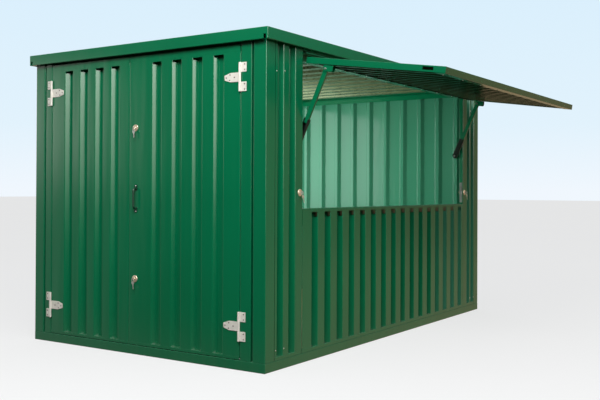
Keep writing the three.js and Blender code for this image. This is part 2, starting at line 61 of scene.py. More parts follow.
# %% [markdown]
# ## Where the camera stands
#
# A store is best shown from eye height, off one corner, so that the door end and the serving side
# are both in view. The camera comes first because every later look depends on it. Its three axes
# are worked out from a turn, a tilt and a small roll, and the lens is a normal one. The shift only
# slides the view in its frame, as the shift of a view camera does.

# %% Camera
EYE = Vector((4.0321, -5.8219, 1.1155))
TURN = math.radians(33.50)
TILT = math.radians(0.377)
ROLL = math.radians(0.255)

ahead = Vector((-math.sin(TURN) * math.cos(TILT), math.cos(TURN) * math.cos(TILT), math.sin(TILT)))
level = ahead.cross(Vector((0, 0, 1))).normalized()
above = level.cross(ahead)
across = level * math.cos(ROLL) + above * math.sin(ROLL)
upward = above * math.cos(ROLL) - level * math.sin(ROLL)

lens = bpy.data.cameras.new("eye_height")
lens.lens = 50.54
lens.shift_x = -0.0012
lens.shift_y = -0.0268
lens.clip_end = 400
camera = bpy.data.objects.new("eye_height", lens)
scene.collection.objects.link(camera)
camera.matrix_world = Matrix.Translation(EYE) @ Matrix((across, upward, -ahead)).transposed().to_4x4()
scene.camera = camera
print("camera", round(lens.lens, 1), "mm at", [round(x, 2) for x in EYE])

# %% [markdown]
# ## Sums written as sums
#
# A painted surface needs small sums: a height turned into a share of dust, a mask taken from one.
# Blender holds each step as a Math node. The class below wraps a node's socket, so that a Python
# expression such as `1 - mask` adds the node by itself. `Finish` is one material: `node` makes any
# other kind of node, sets its settings first and then fills or links its sockets.

# %% Node helpers
def put(socket, item):
    if isinstance(item, Value):
        socket.id_data.links.new(item.socket, socket)
    elif item is not None:
        socket.default_value = item


class Value:
    """A node's output that takes part in arithmetic."""

    def __init__(self, socket):
        self.socket = socket

    def sum(self, operation, first, second=None):
        node = self.socket.id_data.nodes.new("ShaderNodeMath")
        node.operation = operation
        put(node.inputs[0], first)
        put(node.inputs[1], second)
        return Value(node.outputs[0])

    def __add__(self, other):
        return self.sum("ADD", self, other)

    def __sub__(self, other):
        return self.sum("SUBTRACT", self, other)

    def __rsub__(self, other):
        return self.sum("SUBTRACT", other, self)

    def __mul__(self, other):
        return self.sum("MULTIPLY", self, other)

    __radd__ = __add__
    __rmul__ = __mul__

    def clamped(self):
        node = self.socket.id_data.nodes.new("ShaderNodeClamp")
        put(node.inputs[0], self)
        return Value(node.outputs[0])


class Nodes:
    """Any node of a tree, made in one call: its type, its settings, then its sockets.

    A socket is named by its keyword, or by its number where several share a name.
    """

    def __init__(self, tree):
        self.tree = tree

    def node(self, kind, out=0, settings=(), stops=(), **sockets):
        made = self.tree.nodes.new("ShaderNode" + kind)
        for key, value in dict(settings).items():
            setattr(made, key, value)
        for index, (place, tint) in enumerate(stops):
            points = made.color_ramp.elements
            point = points[index] if index < len(points) else points.new(place)
            point.position = place
            point.color = tint
        for key, value in sockets.items():
            put(made.inputs[int(key) if key.isdigit() else key.replace("_", " ")], value)
        return Value(made.outputs[out])

    def noise(self, place, scale, detail=3.0):
        return self.node("TexNoise", "Fac", Vector=place, Scale=scale, Detail=detail)

    def scaled(self, place, scale):
        return self.node("VectorMath", 0, {"operation": "MULTIPLY"}, **{"0": place, "1": scale})

    def mixed(self, share, first, second):
        return self.node("Mix", 2, {"data_type": "RGBA"}, **{"0": share, "6": first, "7": second})


class Finish(Nodes):
    """One material, placed by the row frame's metres."""

    def __init__(self, name):
        self.material = bpy.data.materials.new(name)
        self.material.use_nodes = True
        super().__init__(self.material.node_tree)
        self.shader = self.tree.nodes["Principled BSDF"]
        self.place = self.node("TexCoord", "Object")

    def set(self, **sockets):
        for key, value in sockets.items():
            put(self.shader.inputs[key.replace("_", " ")], value)

    def bumps(self, *layers):
        """Layers of (height, distance in metres), each one laid on the last."""
        normal = None
        for height, distance in layers:
            normal = self.node("Bump", Height=height, Distance=distance, Normal=normal)
        self.set(Normal=normal)


print("node helpers ready")

# %% [markdown]
# ## The green paint
#
# The sheets are sprayed a deep green and stoved. Close up the paint has a faint orange peel, sheet
# steel is never quite flat, so the reflections wander a little, and dust settles low down and on
# flat tops. The colour varies very little: most of the look of gloss paint is what it reflects.
# One function makes every coat. The wall sheets have a paler lining inside, and the hatch is painted
# a dark dull olive underneath as painted shade, so the function can take a second colour and a mask
# that says where it shows.

# %% Green paint
def colour(red, green, blue):
    return (red, green, blue, 1.0)


def looks_in(paint):
    """How far a face looks into the store."""
    return paint.node("VectorMath", "Value", {"operation": "DOT_PRODUCT"}, **{
        "0": paint.scaled(paint.place, (-1.0, -1.0, 0.0)), "1": paint.node("TexCoord", "Normal")})


def looks_down(paint):
    """How far a face looks at the ground."""
    return paint.node("SeparateXYZ", "Z", Vector=paint.node("TexCoord", "Normal")) * -1.0


def green_paint(name, base, deep, roughness, bowing, lining_and_shade=None, where=looks_in):
    """Gloss paint; with a second colour, the faces that `where` picks have it instead: the walls' paler
    lining, and the hatch's painted shade underneath.
    """
    paint = Finish(name)
    z = paint.node("SeparateXYZ", "Z", Vector=paint.place)
    cloud = paint.noise(paint.place, 1.7, 2.0)
    streak = paint.noise(paint.scaled(paint.place, (34.0, 34.0, 1.1)), 1.0, 3.0)
    speck = paint.noise(paint.place, 190.0, 2.0)
    peel = paint.noise(paint.place, 620.0, 1.0)
    bow = paint.noise(paint.scaled(paint.place, (7.0, 7.0, 0.8)), 1.0, 2.0)
    low = (1 - z * 2.6).clamped()
    facing_up = paint.node("SeparateXYZ", "Z", Vector=paint.node("NewGeometry", "Normal"))
    settled = ((facing_up - 0.75) * 4.0).clamped() * 0.3
    dust = ((low * low * 0.24 + settled) * (streak + speck * 0.5) * 0.8).clamped()
    tone = paint.mixed((cloud * 1.6 - 0.3).clamped(), base, deep)
    if lining_and_shade:
        tone = paint.mixed((where(paint) * 4.0).clamped(), tone, lining_and_shade)
    tone = paint.mixed(dust, tone, DUST)
    paint.set(
        Base_Color=tone,
        Roughness=(dust * 0.4 + streak * 0.08 + roughness).clamped(),
        IOR=1.5,
    )
    paint.bumps((bow, bowing), (streak, 0.00005), (peel, 0.000015))
    return paint.material


DUST = colour(0.105, 0.112, 0.072)
SPRAYED = colour(0.0012, 0.150, 0.060), colour(0.001, 0.128, 0.050)
ON_BARS = colour(0.0012, 0.142, 0.057), colour(0.001, 0.126, 0.050)
# The handle's green is much darker than the leaf's: painted shade.
HANDLE_SHADE = colour(0.0008, 0.040, 0.018), colour(0.0006, 0.032, 0.014)
# The hatch's second colour is painted shade: a dark dull olive on its underside.
PALE_LINING, UNDERSIDE_SHADE = colour(0.040, 0.215, 0.125), colour(0.020, 0.042, 0.015)
GLOSS = 0.11

GREEN = green_paint("green_paint", *SPRAYED, GLOSS, 0.0022)
GREEN_WALL = green_paint("green_paint_walls", *SPRAYED, GLOSS, 0.0030, PALE_LINING)
# The hatch paint turns dark olive on faces that look down, as painted shade.
GREEN_HATCH_SHADED_BELOW = green_paint("green_paint_hatch", *SPRAYED, GLOSS, 0.0022, UNDERSIDE_SHADE, looks_down)
GREEN_ROLLED = green_paint("green_paint_bars", *ON_BARS, 0.14, 0.0010)
# The handle's paint is darkened as painted shade.
GREEN_HANDLE_SHADED = green_paint("green_paint_handle", *HANDLE_SHADE, 0.2, 0.0005)
print("paints:", [m.name for m in (GREEN, GREEN_WALL, GREEN_HATCH_SHADED_BELOW, GREEN_ROLLED, GREEN_HANDLE_SHADED)])

# %% [markdown]
# ## Bare metals, board and black paint
#
# The T hinges are zinc plated and nearly white, with darker screws. The lock roses are a pale,
# pinkish brass and their keys are nickelled. The roof sheet was left galvanised, whose zinc
# crystals show as flat patches of slightly different grey, which is what a Voronoi texture draws.
# Its underside is a dull olive. The floor is plywood: long, narrow grain from a noise stretched
# along the board. The sleeves of the stays are satin black.

# %% Other finishes
def plated(name, light, dark, metallic, roughness, grain=46.0):
    plate = Finish(name)
    patch = plate.noise(plate.place, grain, 3.0)
    fine = plate.noise(plate.place, grain * 14, 2.0)
    plate.set(
        Base_Color=plate.mixed((patch * 1.8 - 0.4).clamped(), dark, light),
        Metallic=metallic,
        Roughness=(patch * 0.12 + fine * 0.08 + roughness).clamped(),
    )
    plate.bumps((fine, 0.00002))
    return plate.material


def galvanised(name):
    sheet = Finish(name)
    crystal = sheet.node("TexVoronoi", "Color", Vector=sheet.place, Scale=75.0)
    shade = sheet.node("SeparateColor", 0, Color=crystal)
    cloud = sheet.noise(sheet.place, 2.3, 3.0)
    buckle = sheet.noise(sheet.scaled(sheet.place, (1.2, 9.0, 3.0)), 1.0, 1.0)
    blend = (shade * 0.5 + cloud * 0.5).clamped()
    upper = sheet.mixed(blend, colour(0.50, 0.50, 0.47), colour(0.66, 0.66, 0.62))
    under = sheet.mixed(blend, colour(0.12, 0.170, 0.085), colour(0.22, 0.27, 0.145))
    sheet.set(
        Base_Color=sheet.mixed((looks_down(sheet) * 4.0).clamped(), upper, under),
        Metallic=0.45,
        Roughness=(shade * 0.10 + cloud * 0.10 + 0.22).clamped(),
    )
    sheet.bumps((buckle, 0.0012), (shade, 0.00003))
    return sheet.material


def plywood(name):
    board = Finish(name)
    grain = board.noise(board.scaled(board.place, (55.0, 2.4, 55.0)), 1.0, 5.0)
    rings = board.noise(board.scaled(board.place, (9.0, 0.8, 9.0)), 1.0, 3.0)
    scuff = board.noise(board.place, 6.0, 4.0)
    shade = (grain * 0.6 + rings * 0.7 - 0.15).clamped()
    board.set(
        Base_Color=board.mixed(shade, colour(0.36, 0.22, 0.115), colour(0.56, 0.39, 0.23)),
        Roughness=(scuff * 0.25 + 0.5).clamped(),
    )
    board.bumps((grain, 0.0002))
    return board.material


def satin_black(name):
    black = Finish(name)
    wear = black.noise(black.place, 70.0, 4.0)
    black.set(
        Base_Color=black.mixed((wear * 2.0 - 0.9).clamped(), colour(0.004, 0.010, 0.007),
                               colour(0.012, 0.018, 0.014)),
        Roughness=(wear * 0.25 + 0.4).clamped(),
        Specular_IOR_Level=0.3,
    )
    black.bumps((black.noise(black.place, 500.0, 1.0), 0.00002))
    return black.material


ZINC = plated("zinc_plate", colour(0.82, 0.79, 0.71), colour(0.68, 0.65, 0.58), 0.12, 0.36)
SCREWS = plated("screw_steel", colour(0.30, 0.23, 0.20), colour(0.14, 0.11, 0.10), 0.8, 0.34, 90.0)
BRASS = plated("lock_brass", colour(0.88, 0.71, 0.55), colour(0.72, 0.55, 0.4), 0.75, 0.24, 90.0)
STEEL = plated("bright_steel", colour(0.78, 0.78, 0.76), colour(0.6, 0.6, 0.58), 0.9, 0.2, 90.0)
BLACK = satin_black("satin_black")
ROOFING = galvanised("galvanised_sheet")
BOARD = plywood("plywood")
print("finishes:", [m.name for m in (ZINC, SCREWS, BRASS, STEEL, BLACK, ROOFING, BOARD)])

# %% [markdown]
# ## Folding steel
#
# Nearly everything here is sheet folded along straight lines. A press brake leaves a small radius
# at every fold, and that radius is what catches a thin line of light along each edge, so a sharp
# corner would look like card. `bent` takes the line that the folder follows and gives back the two
# faces of the sheet with every corner rounded. `sheet` then pulls that section along its length,
# and `ring` runs it round the plan. The constants are the two gauges of steel, the clearance
# between parts, and the inner radius of a fold in a frame part and in a pressed sheet.

# %% Folded sheet
SHEET = 0.0012
PLATE = 0.0025
GAP = 0.0003
FOLD = 0.0022
PRESS = 0.005


def bent(line, thickness, fold, steps=4):
    """The near and far face of a sheet folded along a line, its thickness on the line's right."""
    points = [Vector(p) for p in line]
    near, far = [], []
    for i, point in enumerate(points):
        before = (point - points[i - 1]).normalized() if i else None
        after = (points[i + 1] - point).normalized() if i < len(points) - 1 else None
        one_way = before if before is not None else after
        right = Vector((one_way.y, -one_way.x))
        turn = 0.0
        if before is not None and after is not None:
            turn = math.atan2(before.x * after.y - before.y * after.x, before.dot(after))
        if abs(turn) < 1e-4:
            near.append(point)
            far.append(point + right * thickness)
            continue
        side = -1 if turn < 0 else 1
        radius = fold + (thickness if turn < 0 else 0)
        start = point - before * radius * math.tan(abs(turn) / 2)
        centre = start - right * radius * side
        for step in range(steps + 1):
            arm = Matrix.Rotation(turn * step / steps, 2) @ right
            near.append(centre + arm * radius * side)
            far.append(near[-1] + arm * thickness)
    return near, far


def sheet(mesh, line, thickness, place, ends, fold=FOLD):
    """Pulls a folded section along its length. place(u, v, w) gives the point."""
    sides = bent(line, thickness, fold)
    (a, b), (c, d) = [
        [[mesh.verts.new(place(p.x, p.y, w)) for p in side] for side in sides] for w in ends
    ]
    for i in range(len(a) - 1):
        for quad in ((a[i], a[i + 1], c[i + 1], c[i]), (b[i], b[i + 1], d[i + 1], d[i]),
                     (a[i], a[i + 1], b[i + 1], b[i]), (c[i], c[i + 1], d[i + 1], d[i])):
            mesh.faces.new(quad)
    for i in (0, -1):
        mesh.faces.new((a[i], c[i], d[i], b[i]))


def ring(mesh, line, thickness, half_x, half_y, corner, fold=FOLD, steps=5):
    """A folded section run round the plan with rounded corners, its line in (depth, z)."""
    near, far = bent(line, thickness, fold)
    section = near + far[::-1]
    loops = []
    for quarter, (sx, sy) in enumerate(((1, 1), (-1, 1), (-1, -1), (1, -1))):
        for step in range(steps + 1):
            angle = (quarter + step / steps) * math.pi / 2
            loop = []
            for p in section:
                radius, inset = max(corner - p.x, 0), max(corner, p.x)
                x = sx * (half_x - inset) + radius * math.cos(angle)
                y = sy * (half_y - inset) + radius * math.sin(angle)
                loop.append(mesh.verts.new((x, y, p.y)))
            loops.append(loop)
    for i, loop in enumerate(loops):
        nxt = loops[(i + 1) % len(loops)]
        for k in range(len(section)):
            m = (k + 1) % len(section)
            mesh.faces.new((loop[k], loop[m], nxt[m], nxt[k]))
    bmesh.ops.remove_doubles(mesh, verts=mesh.verts, dist=1e-6)


print("gauges:", SHEET, "and", PLATE, "m")

# %% [markdown]
# ## Plates, round bar and tube
#
# Brackets, locks and hinges are cut plate and turned bar. A cut edge is never knife sharp, so
# `plate` bevels every edge a little. `turned` spins a section about any axis, as a lathe would, and
# `tube` carries one circle along a path. Blender's own cylinder would need an edge bevel each time
# and a rotation to lay it along its axis.

# %% Plates and turned parts
def soften(mesh, verts, edge, steps=2):
    if edge > 0:
        edges = list(dict.fromkeys(e for v in verts for e in v.link_edges))
        bmesh.ops.bevel(mesh, geom=edges, offset=edge, segments=steps, profile=0.5, affect="EDGES")


def plate(mesh, outline, place, ends, edge=0.0005):
    """A flat outline with thickness, its edges softened. place(u, v, w) gives the point."""
    a, b = [[mesh.verts.new(place(u, v, w)) for u, v in outline] for w in ends]
    mesh.faces.new(a)
    mesh.faces.new(b[::-1])
    for i in range(len(a)):
        k = (i + 1) % len(a)
        mesh.faces.new((a[i], b[i], b[k], a[k]))
    soften(mesh, a + b, edge)


def block(mesh, low, high, edge=0.0008, place=None):
    (x0, y0, z0), (x1, y1, z1) = low, high
    at = place or (lambda x, y, z: (x, y, z))
    plate(mesh, [(x0, y0), (x1, y0), (x1, y1), (x0, y1)], at, (z0, z1), edge)


def turned(mesh, section, centre, axis, sides=32):
    """Turns a section of (radius, distance along the axis) about the axis."""
    centre = Vector(centre)
    frame_of = Vector((0, 0, 1)).rotation_difference(Vector(axis)).to_matrix()
    rows = []
    for radius, along in section:
        if radius == 0:
            rows.append([mesh.verts.new(centre + frame_of @ Vector((0, 0, along)))])
            continue
        spread = [2 * math.pi * i / sides for i in range(sides)]
        rows.append([mesh.verts.new(centre + frame_of @ Vector(
            (radius * math.cos(t), radius * math.sin(t), along))) for t in spread])
    for low, high in zip(rows, rows[1:]):
        for i in range(sides):
            k = (i + 1) % sides
            quad = [low[i % len(low)], low[k % len(low)], high[k % len(high)], high[i % len(high)]]
            mesh.faces.new(list(dict.fromkeys(quad)))


def bar(mesh, start, end, radius, edge=0.0006, sides=24):
    length = (Vector(end) - Vector(start)).length
    turned(mesh, [(0, 0), (radius - edge, 0), (radius, edge), (radius, length - edge),
                  (radius - edge, length), (0, length)],
           start, Vector(end) - Vector(start), sides)


def tube(mesh, path, radius, sides=14, closed=False):
    points = [Vector(p) for p in path]
    count = len(points)
    normal = None
    rows = []
    for i, point in enumerate(points):
        ahead_of = points[(i + 1) % count] if closed or i < count - 1 else point
        behind = points[i - 1] if closed or i else point
        along = (ahead_of - behind).normalized()
        if normal is None:
            normal = along.orthogonal().normalized()
        normal = (normal - along * normal.dot(along)).normalized()
        side = along.cross(normal)
        spread = [2 * math.pi * k / sides for k in range(sides)]
        rows.append([mesh.verts.new(point + normal * radius * math.cos(t) + side * radius * math.sin(t))
                     for t in spread])
    pairs = list(zip(rows, rows[1:])) + ([(rows[-1], rows[0])] if closed else [])
    for low, high in pairs:
        for i in range(sides):
            k = (i + 1) % sides
            mesh.faces.new((low[i], low[k], high[k], high[i]))
    if not closed:
        mesh.faces.new(rows[0][::-1])
        mesh.faces.new(rows[-1])


print("plate and lathe helpers ready")

# %% [markdown]
# ## Knuckles, outlines and screws
#
# A few shapes come back all over the store: the short tube round a hinge pin, a rectangle with
# rounded corners, a round screw head and a hexagon nut. Each one is drawn by a helper at its real
# size. A screw is only a few millimetres across, but its shadow is what says that it stands proud.

# %% Small shapes
SCREW_HEAD = 0.0045


def knuckle(mesh, bore, radius, length, edge, start, axis):
    """A short tube for a hinge pin."""
    turned(mesh, [(bore, 0), (radius - edge, 0), (radius, edge), (radius, length - edge),
                  (radius - edge, length), (bore, length), (bore, 0)], start, axis, 24)


def round_points(centre, radius, first, last, steps):
    turns = [math.radians(first + (last - first) * i / steps) for i in range(steps + 1)]
    return [(centre[0] + radius * math.cos(t), centre[1] + radius * math.sin(t)) for t in turns]


def rounded_box(u0, u1, v0, v1, radius, steps=4):
    corners = ((u1 - radius, v1 - radius, 0), (u0 + radius, v1 - radius, 90),
               (u0 + radius, v0 + radius, 180), (u1 - radius, v0 + radius, 270))
    return [p for u, v, turn in corners for p in round_points((u, v), radius, turn, turn + 90, steps)]


def screw(mesh, centre, out, radius=SCREW_HEAD):
    """A round-headed screw with a socket in its head."""
    turned(mesh, [(0, radius * 0.12), (radius * 0.36, radius * 0.12), (radius * 0.42, radius * 0.58),
                  (radius * 0.78, radius * 0.46), (radius, radius * 0.14), (radius, -0.0002),
                  (0, -0.0002)], centre, out, 18)


def hexagon(mesh, centre, out, radius, height):
    centre, out = Vector(centre), Vector(out).normalized()
    side = out.orthogonal().normalized()
    other = out.cross(side)
    outline = round_points((0, 0), radius, 0, 300, 5)
    plate(mesh, outline, lambda u, v, w: centre + side * u + other * v + out * w, (0, height), 0.0006)


print("a hinge screw's head is", 2 * SCREW_HEAD, "m across")

# %% [markdown]
# ## From a mesh to a piece
#
# A mesh becomes a piece of the store once it has a finish, a body to ride on, a material slot and
# the frame parts that it stands for. Shading is smooth, with sharp edges kept where two faces meet
# at more than 32 degrees, and weighted normals keep the flats flat beside their small bevels. Slots
# and bolt holes are cut with a boolean, which is exact here because both shapes are closed.

# %% Pieces
SHARP = math.radians(32)


def piece(name, mesh, body, finish, stands_for=(), cutters=()):
    """Closes a mesh into an object that rides on a body."""
    bmesh.ops.recalc_face_normals(mesh, faces=mesh.faces)
    data = bpy.data.meshes.new(name)
    mesh.to_mesh(data)
    mesh.free()
    thing = bpy.data.objects.new(name, data)
    scene.collection.objects.link(thing)
    for cutter in cutters:
        pierce(thing, cutter)
    thing.data.materials.append(finish)
    thing.data.shade_smooth()
    thing.data.set_sharp_from_angle(angle=SHARP)
    even = thing.modifiers.new("even_normals", "WEIGHTED_NORMAL")
    even.keep_sharp = True
    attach(thing, body)
    if stands_for:
        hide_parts(*stands_for)


def pierce(thing, cutter):
    """Cuts a bmesh's shape out of a piece."""
    bmesh.ops.recalc_face_normals(cutter, faces=cutter.faces)
    data = bpy.data.meshes.new("cutter")
    cutter.to_mesh(data)
    cutter.free()
    tool = bpy.data.objects.new("cutter", data)
    scene.collection.objects.link(tool)
    step = thing.modifiers.new("pierce", "BOOLEAN")
    step.operation = "DIFFERENCE"
    step.solver = "EXACT"
    step.object = tool
    bpy.context.view_layer.update()
    shaped = bpy.data.meshes.new_from_object(thing.evaluated_get(bpy.context.evaluated_depsgraph_get()))
    thing.modifiers.clear()
    shaped.name = thing.name
    thing.data = shaped
    bpy.data.objects.remove(tool)


def box_tool(*boxes, place=None):
    tool = bmesh.new()
    for low, high in boxes:
        block(tool, low, high, 0, place)
    return tool


def along_y(x, z, y):
    return (x, y, z)


def along_x(y, z, x):
    return (x, y, z)


print("piece helpers ready")

# %% [markdown]
# ## Places on the walls
#
# A wall's maker measures along the wall and out from its face. The functions here turn such a
# place into the frame's X and Y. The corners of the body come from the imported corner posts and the
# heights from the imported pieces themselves, so this file and the frame cannot drift apart.

# %% The body's sizes
GROUND, RAIL_TOP = (corner.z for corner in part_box("base_rail_front"))
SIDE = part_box("post_front_right")[1].x
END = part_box("post_rear_right")[1].y
WIDTH, LENGTH = 2 * SIDE, 2 * END
FOOT, WALL_TOP = (corner.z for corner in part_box("post_front_left"))
ROOF_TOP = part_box("roof_edge_front")[1].z
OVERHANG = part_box("roof_edge_front")[1].x - SIDE
SILL_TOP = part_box("hatch_sill")[1].z
NEAR_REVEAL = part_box("hatch_sill")[0].y + END - GAP
FAR_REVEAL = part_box("hatch_sill")[1].y + END + GAP
BAND_TOP = 0.085
RIB_DEPTH, RIB_RUN = 0.035, 0.022
LIP = 0.035
PROUD = 0.0004
POST_FRONT, POST_SIDE, JAMB = 0.095, 0.100, 0.075

hatch_line = Vector(joints["hatch_swing"]["pos_m"])
HATCH_OPEN = math.radians(joints["hatch_swing"]["range_deg"][1])
SWUNG = Matrix.Translation(hatch_line) @ Matrix.Rotation(-HATCH_OPEN, 4, "Y")
HINGE_PROUD = hatch_line.x - SIDE

FACES = {
    "right": lambda s, d, z: (SIDE + d, s - END, z),
    "left": lambda s, d, z: (-SIDE - d, s - END, z),
    "rear": lambda s, d, z: (s - SIDE, END + d, z),
    "front": lambda s, d, z: (s - SIDE, -END - d, z),
    "hatch": lambda s, d, z: SWUNG @ Vector((d - HINGE_PROUD, s - END, z)),
}
print("body", round(WIDTH, 3), "x", round(LENGTH, 3), "x", round(ROOF_TOP, 3), "m")

# %% [markdown]
# ## Pressed wall sheets
#
# Each wall is one thin sheet pressed with upright valleys for stiffness. A plane cut into strips
# would have no radius at the folds, so the section is drawn as a line, rounded by `bent`, and
# pulled up the wall. A folded channel runs along the foot of every sheet and closes the valleys
# there: seen from above, its top shows as a small ledge at the bottom of each one. Below the sill
# the valleys stop short and stand open, and a strip behind them keeps the lit room from showing.

# %% Walls
def valleys(first, pitch, width, count):
    return [(first + i * pitch, width) for i in range(count)]


def pressed(start, stop, recesses):
    line = [(start, 0)]
    for at, width in recesses:
        line += [(at, 0), (at + RIB_RUN, -RIB_DEPTH),
                 (at + width - RIB_RUN, -RIB_DEPTH), (at + width, 0)]
    return line + [(stop, 0)]


def panel(mesh, face, line, high):
    sheet(mesh, line, SHEET, FACES[face], (BAND_TOP - SHEET / 2, high), PRESS)


def slits(face, recesses, top, deep=0.004, drop=0.013):
    """A tool that shortens each valley, so that its upper end stands open."""
    slack, past = 0.002, 0.01
    boxes = [((at - slack, -RIB_DEPTH - past, top - drop), (at + width + slack, -deep, top + past))
             for at, width in recesses]
    return box_tool(*boxes, place=FACES[face])


def foot_channel(mesh, face, line, low):
    place = FACES[face]
    back = -RIB_DEPTH - 0.002
    section = [(back, low), (back, BAND_TOP), (PROUD, BAND_TOP), (PROUD, low)]
    ends = (line[0][0] - PROUD, line[-1][0] + PROUD)
    sheet(mesh, section, SHEET, lambda d, z, s: place(s, d, z), ends, 0.0012)


SEAM = GAP + PROUD
VALLEY, NARROW = 0.076, 0.064
SILL_SLIT, BACKING_DEEP, BACKING_THICK = 0.034, 0.0030, 0.0015
wall_ends = (POST_SIDE + SEAM, LENGTH - POST_SIDE - SEAM)
hatch_valleys = valleys(0.517, 0.1608, VALLEY, 16)
walls = {
    "wall_left": ("left", pressed(*wall_ends, valleys(0.142, 0.160, VALLEY, 20))),
    "wall_rear": ("rear", pressed(POST_FRONT + SEAM, WIDTH - POST_FRONT - SEAM,
                                  valleys(0.149, 0.189, VALLEY, 10))),
    "wall_right_front": ("right", pressed(wall_ends[0], NEAR_REVEAL - JAMB - SEAM,
                                          [(0.124, NARROW), (0.250, 0.070)])),
    "wall_right_rear": ("right", pressed(FAR_REVEAL + JAMB + SEAM, wall_ends[1],
                                         [(3.134, NARROW), (3.226, NARROW)])),
    "wall_right_lower": ("right", pressed(NEAR_REVEAL + SEAM, FAR_REVEAL - SEAM, hatch_valleys)),
}
for node, (face, line) in walls.items():
    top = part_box(node)[1].z
    mesh = bmesh.new()
    panel(mesh, face, line, top)
    foot_channel(mesh, face, line, FOOT)
    tools = [slits(face, hatch_valleys, top, drop=SILL_SLIT)] if node == "wall_right_lower" else []
    piece(node + "_pressing", mesh, "store", GREEN_WALL, [node], tools)

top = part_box("wall_right_lower")[1].z
mesh = bmesh.new()
block(mesh, (NEAR_REVEAL + 0.01, -RIB_DEPTH - BACKING_DEEP - BACKING_THICK, top - 0.09),
      (FAR_REVEAL - 0.01, -RIB_DEPTH - BACKING_DEEP, top - 0.004), 0, FACES["right"])
piece("sill_backing", mesh, "store", GREEN_ROLLED)
print("wall sheets:", len(walls))

# %% [markdown]
# ## Base frame, posts and floor
#
# The base is a folded channel run round the plan, and each corner post is a folded angle whose two
# free edges turn inwards. On the real store the base is welded at the corners, so it is drawn here
# as one ring. Inside, three joists carry plywood boards, screwed down along their long edges.

# %% Base, posts and floor
RAIL_DEEP, CORNER = 0.060, 0.004
mesh = bmesh.new()
rail = [(RAIL_DEEP, GROUND), (0, GROUND), (0, RAIL_TOP), (RAIL_DEEP, RAIL_TOP)]
ring(mesh, rail, PLATE, SIDE, END, CORNER)
piece("base_frame", mesh, "store", GREEN_ROLLED,
      ["base_rail_front", "base_rail_rear", "base_rail_left", "base_rail_right"])

post_line = [(POST_FRONT, LIP), (POST_FRONT, 0), (0, 0), (0, POST_SIDE), (LIP, POST_SIDE)]
for row, sy in (("front", -1), ("rear", 1)):
    for column, sx in (("left", -1), ("right", 1)):
        mesh = bmesh.new()
        sheet(mesh, post_line, PLATE, lambda a, b, z: (sx * (SIDE - a), sy * (END - b), z),
              (FOOT, WALL_TOP), 0.003)
        piece(f"corner_post_{row}_{column}", mesh, "store", GREEN_ROLLED,
              [f"post_{row}_{column}"])

for which in ("front", "middle", "rear"):
    low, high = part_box(f"floor_joist_{which}")
    mesh = bmesh.new()
    channel = [(high.y, low.z), (low.y, low.z), (low.y, high.z), (high.y, high.z)]
    sheet(mesh, channel, PLATE, along_x, (low.x, high.x))
    piece(f"joist_{which}", mesh, "store", GREEN_ROLLED, [f"floor_joist_{which}"])

low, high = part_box("floor_board")
joins = [low.y, low.y + 1.11, low.y + 2.20, high.y]
mesh = bmesh.new()
for start, stop in zip(joins, joins[1:]):
    block(mesh, (low.x, start + 0.001, low.z), (high.x, stop - 0.001, high.z), 0.0012)
piece("floor_boards", mesh, "store", BOARD, ["floor_board"])
mesh = bmesh.new()
for y in (-1.58, -1.10, -0.62, 0.0, 0.62, 1.10, 1.58):
    for x in (-0.92, -0.46, 0.0, 0.46, 0.92):
        screw(mesh, (x, y, high.z), (0, 0, 1), 0.004)
piece("floor_screws", mesh, "store", STEEL)
print("posts, base and", len(joins) - 1, "floor boards")

# %% [markdown]
# ## Roof
#
# The roof is a shallow tray. One folded section runs round its edge: a fascia on the outside, a
# flat top, a downstand and a shelf that the roof sheet lies on, with a last lip inside that hides
# the wall tops. The fascia has a small drain notch near each front corner. The roof sheet is ribbed
# across the store and bare on its underside, which shows through the hatch as the ceiling.

# %% Roof
DOWNSTAND, SHELF, FASCIA, HEM = 0.073, 0.110, 0.074, 0.014
SHELF_TOP, LIP_FOOT = 2.045, 1.995
DRAIN_INSET, DRAIN_HALF, DRAIN_TALL = 0.022, 0.009, 0.030
roof_section = [
    (HEM, ROOF_TOP - FASCIA), (0, ROOF_TOP - FASCIA), (0, ROOF_TOP), (DOWNSTAND, ROOF_TOP),
    (DOWNSTAND, SHELF_TOP), (SHELF, SHELF_TOP), (SHELF, LIP_FOOT),
]
mesh = bmesh.new()
ring(mesh, roof_section, PLATE, SIDE + OVERHANG, END + OVERHANG, CORNER)
outer = -END - OVERHANG
drain_x = SIDE + OVERHANG - DRAIN_INSET
drains = [((side * drain_x - DRAIN_HALF, outer - 0.005, ROOF_TOP - FASCIA - 0.005),
           (side * drain_x + DRAIN_HALF, outer + 0.010, ROOF_TOP - FASCIA + DRAIN_TALL))
          for side in (-1, 1)]
piece("roof_edge", mesh, "store", GREEN_ROLLED,
      ["roof_edge_front", "roof_edge_rear", "roof_edge_left", "roof_edge_right"],
      [box_tool(*drains)])

low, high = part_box("roof_sheet")
roof_top = SHELF_TOP + RIB_DEPTH + SHEET + GAP
roof_ribs = valleys(low.y + 0.060, 0.200, 0.120, 16)
mesh = bmesh.new()
roof_line = [(s, d + roof_top) for s, d in pressed(low.y, high.y, roof_ribs)]
sheet(mesh, roof_line, SHEET, along_x, (low.x, high.x), 0.004)
piece("roof_pressing", mesh, "store", ROOFING, ["roof_sheet"])
print("roof ribs:", len(roof_ribs))

# %% [markdown]
# ## The serving opening
#
# Above and below the opening there are a folded sill and a header, which carries the fixed half of
# each of the hatch's hinges and a drip flashing over them. Both are drawn as folded sections, so
# that the small rounded nose of the sill catches light along its whole length.

# %% Sill and header
SILL_NOSE, SILL_TAIL = 0.023, 0.032
span = (NEAR_REVEAL + GAP - END, FAR_REVEAL - GAP - END)
sill_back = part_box("hatch_sill")[0].x
mesh = bmesh.new()
sill_line = [(sill_back, SILL_TOP - SILL_TAIL), (sill_back, SILL_TOP), (SIDE, SILL_TOP),
             (SIDE, SILL_TOP - SILL_NOSE)]
sheet(mesh, sill_line, PLATE, along_y, span)
piece("serving_sill", mesh, "store", GREEN_ROLLED, ["hatch_sill"])

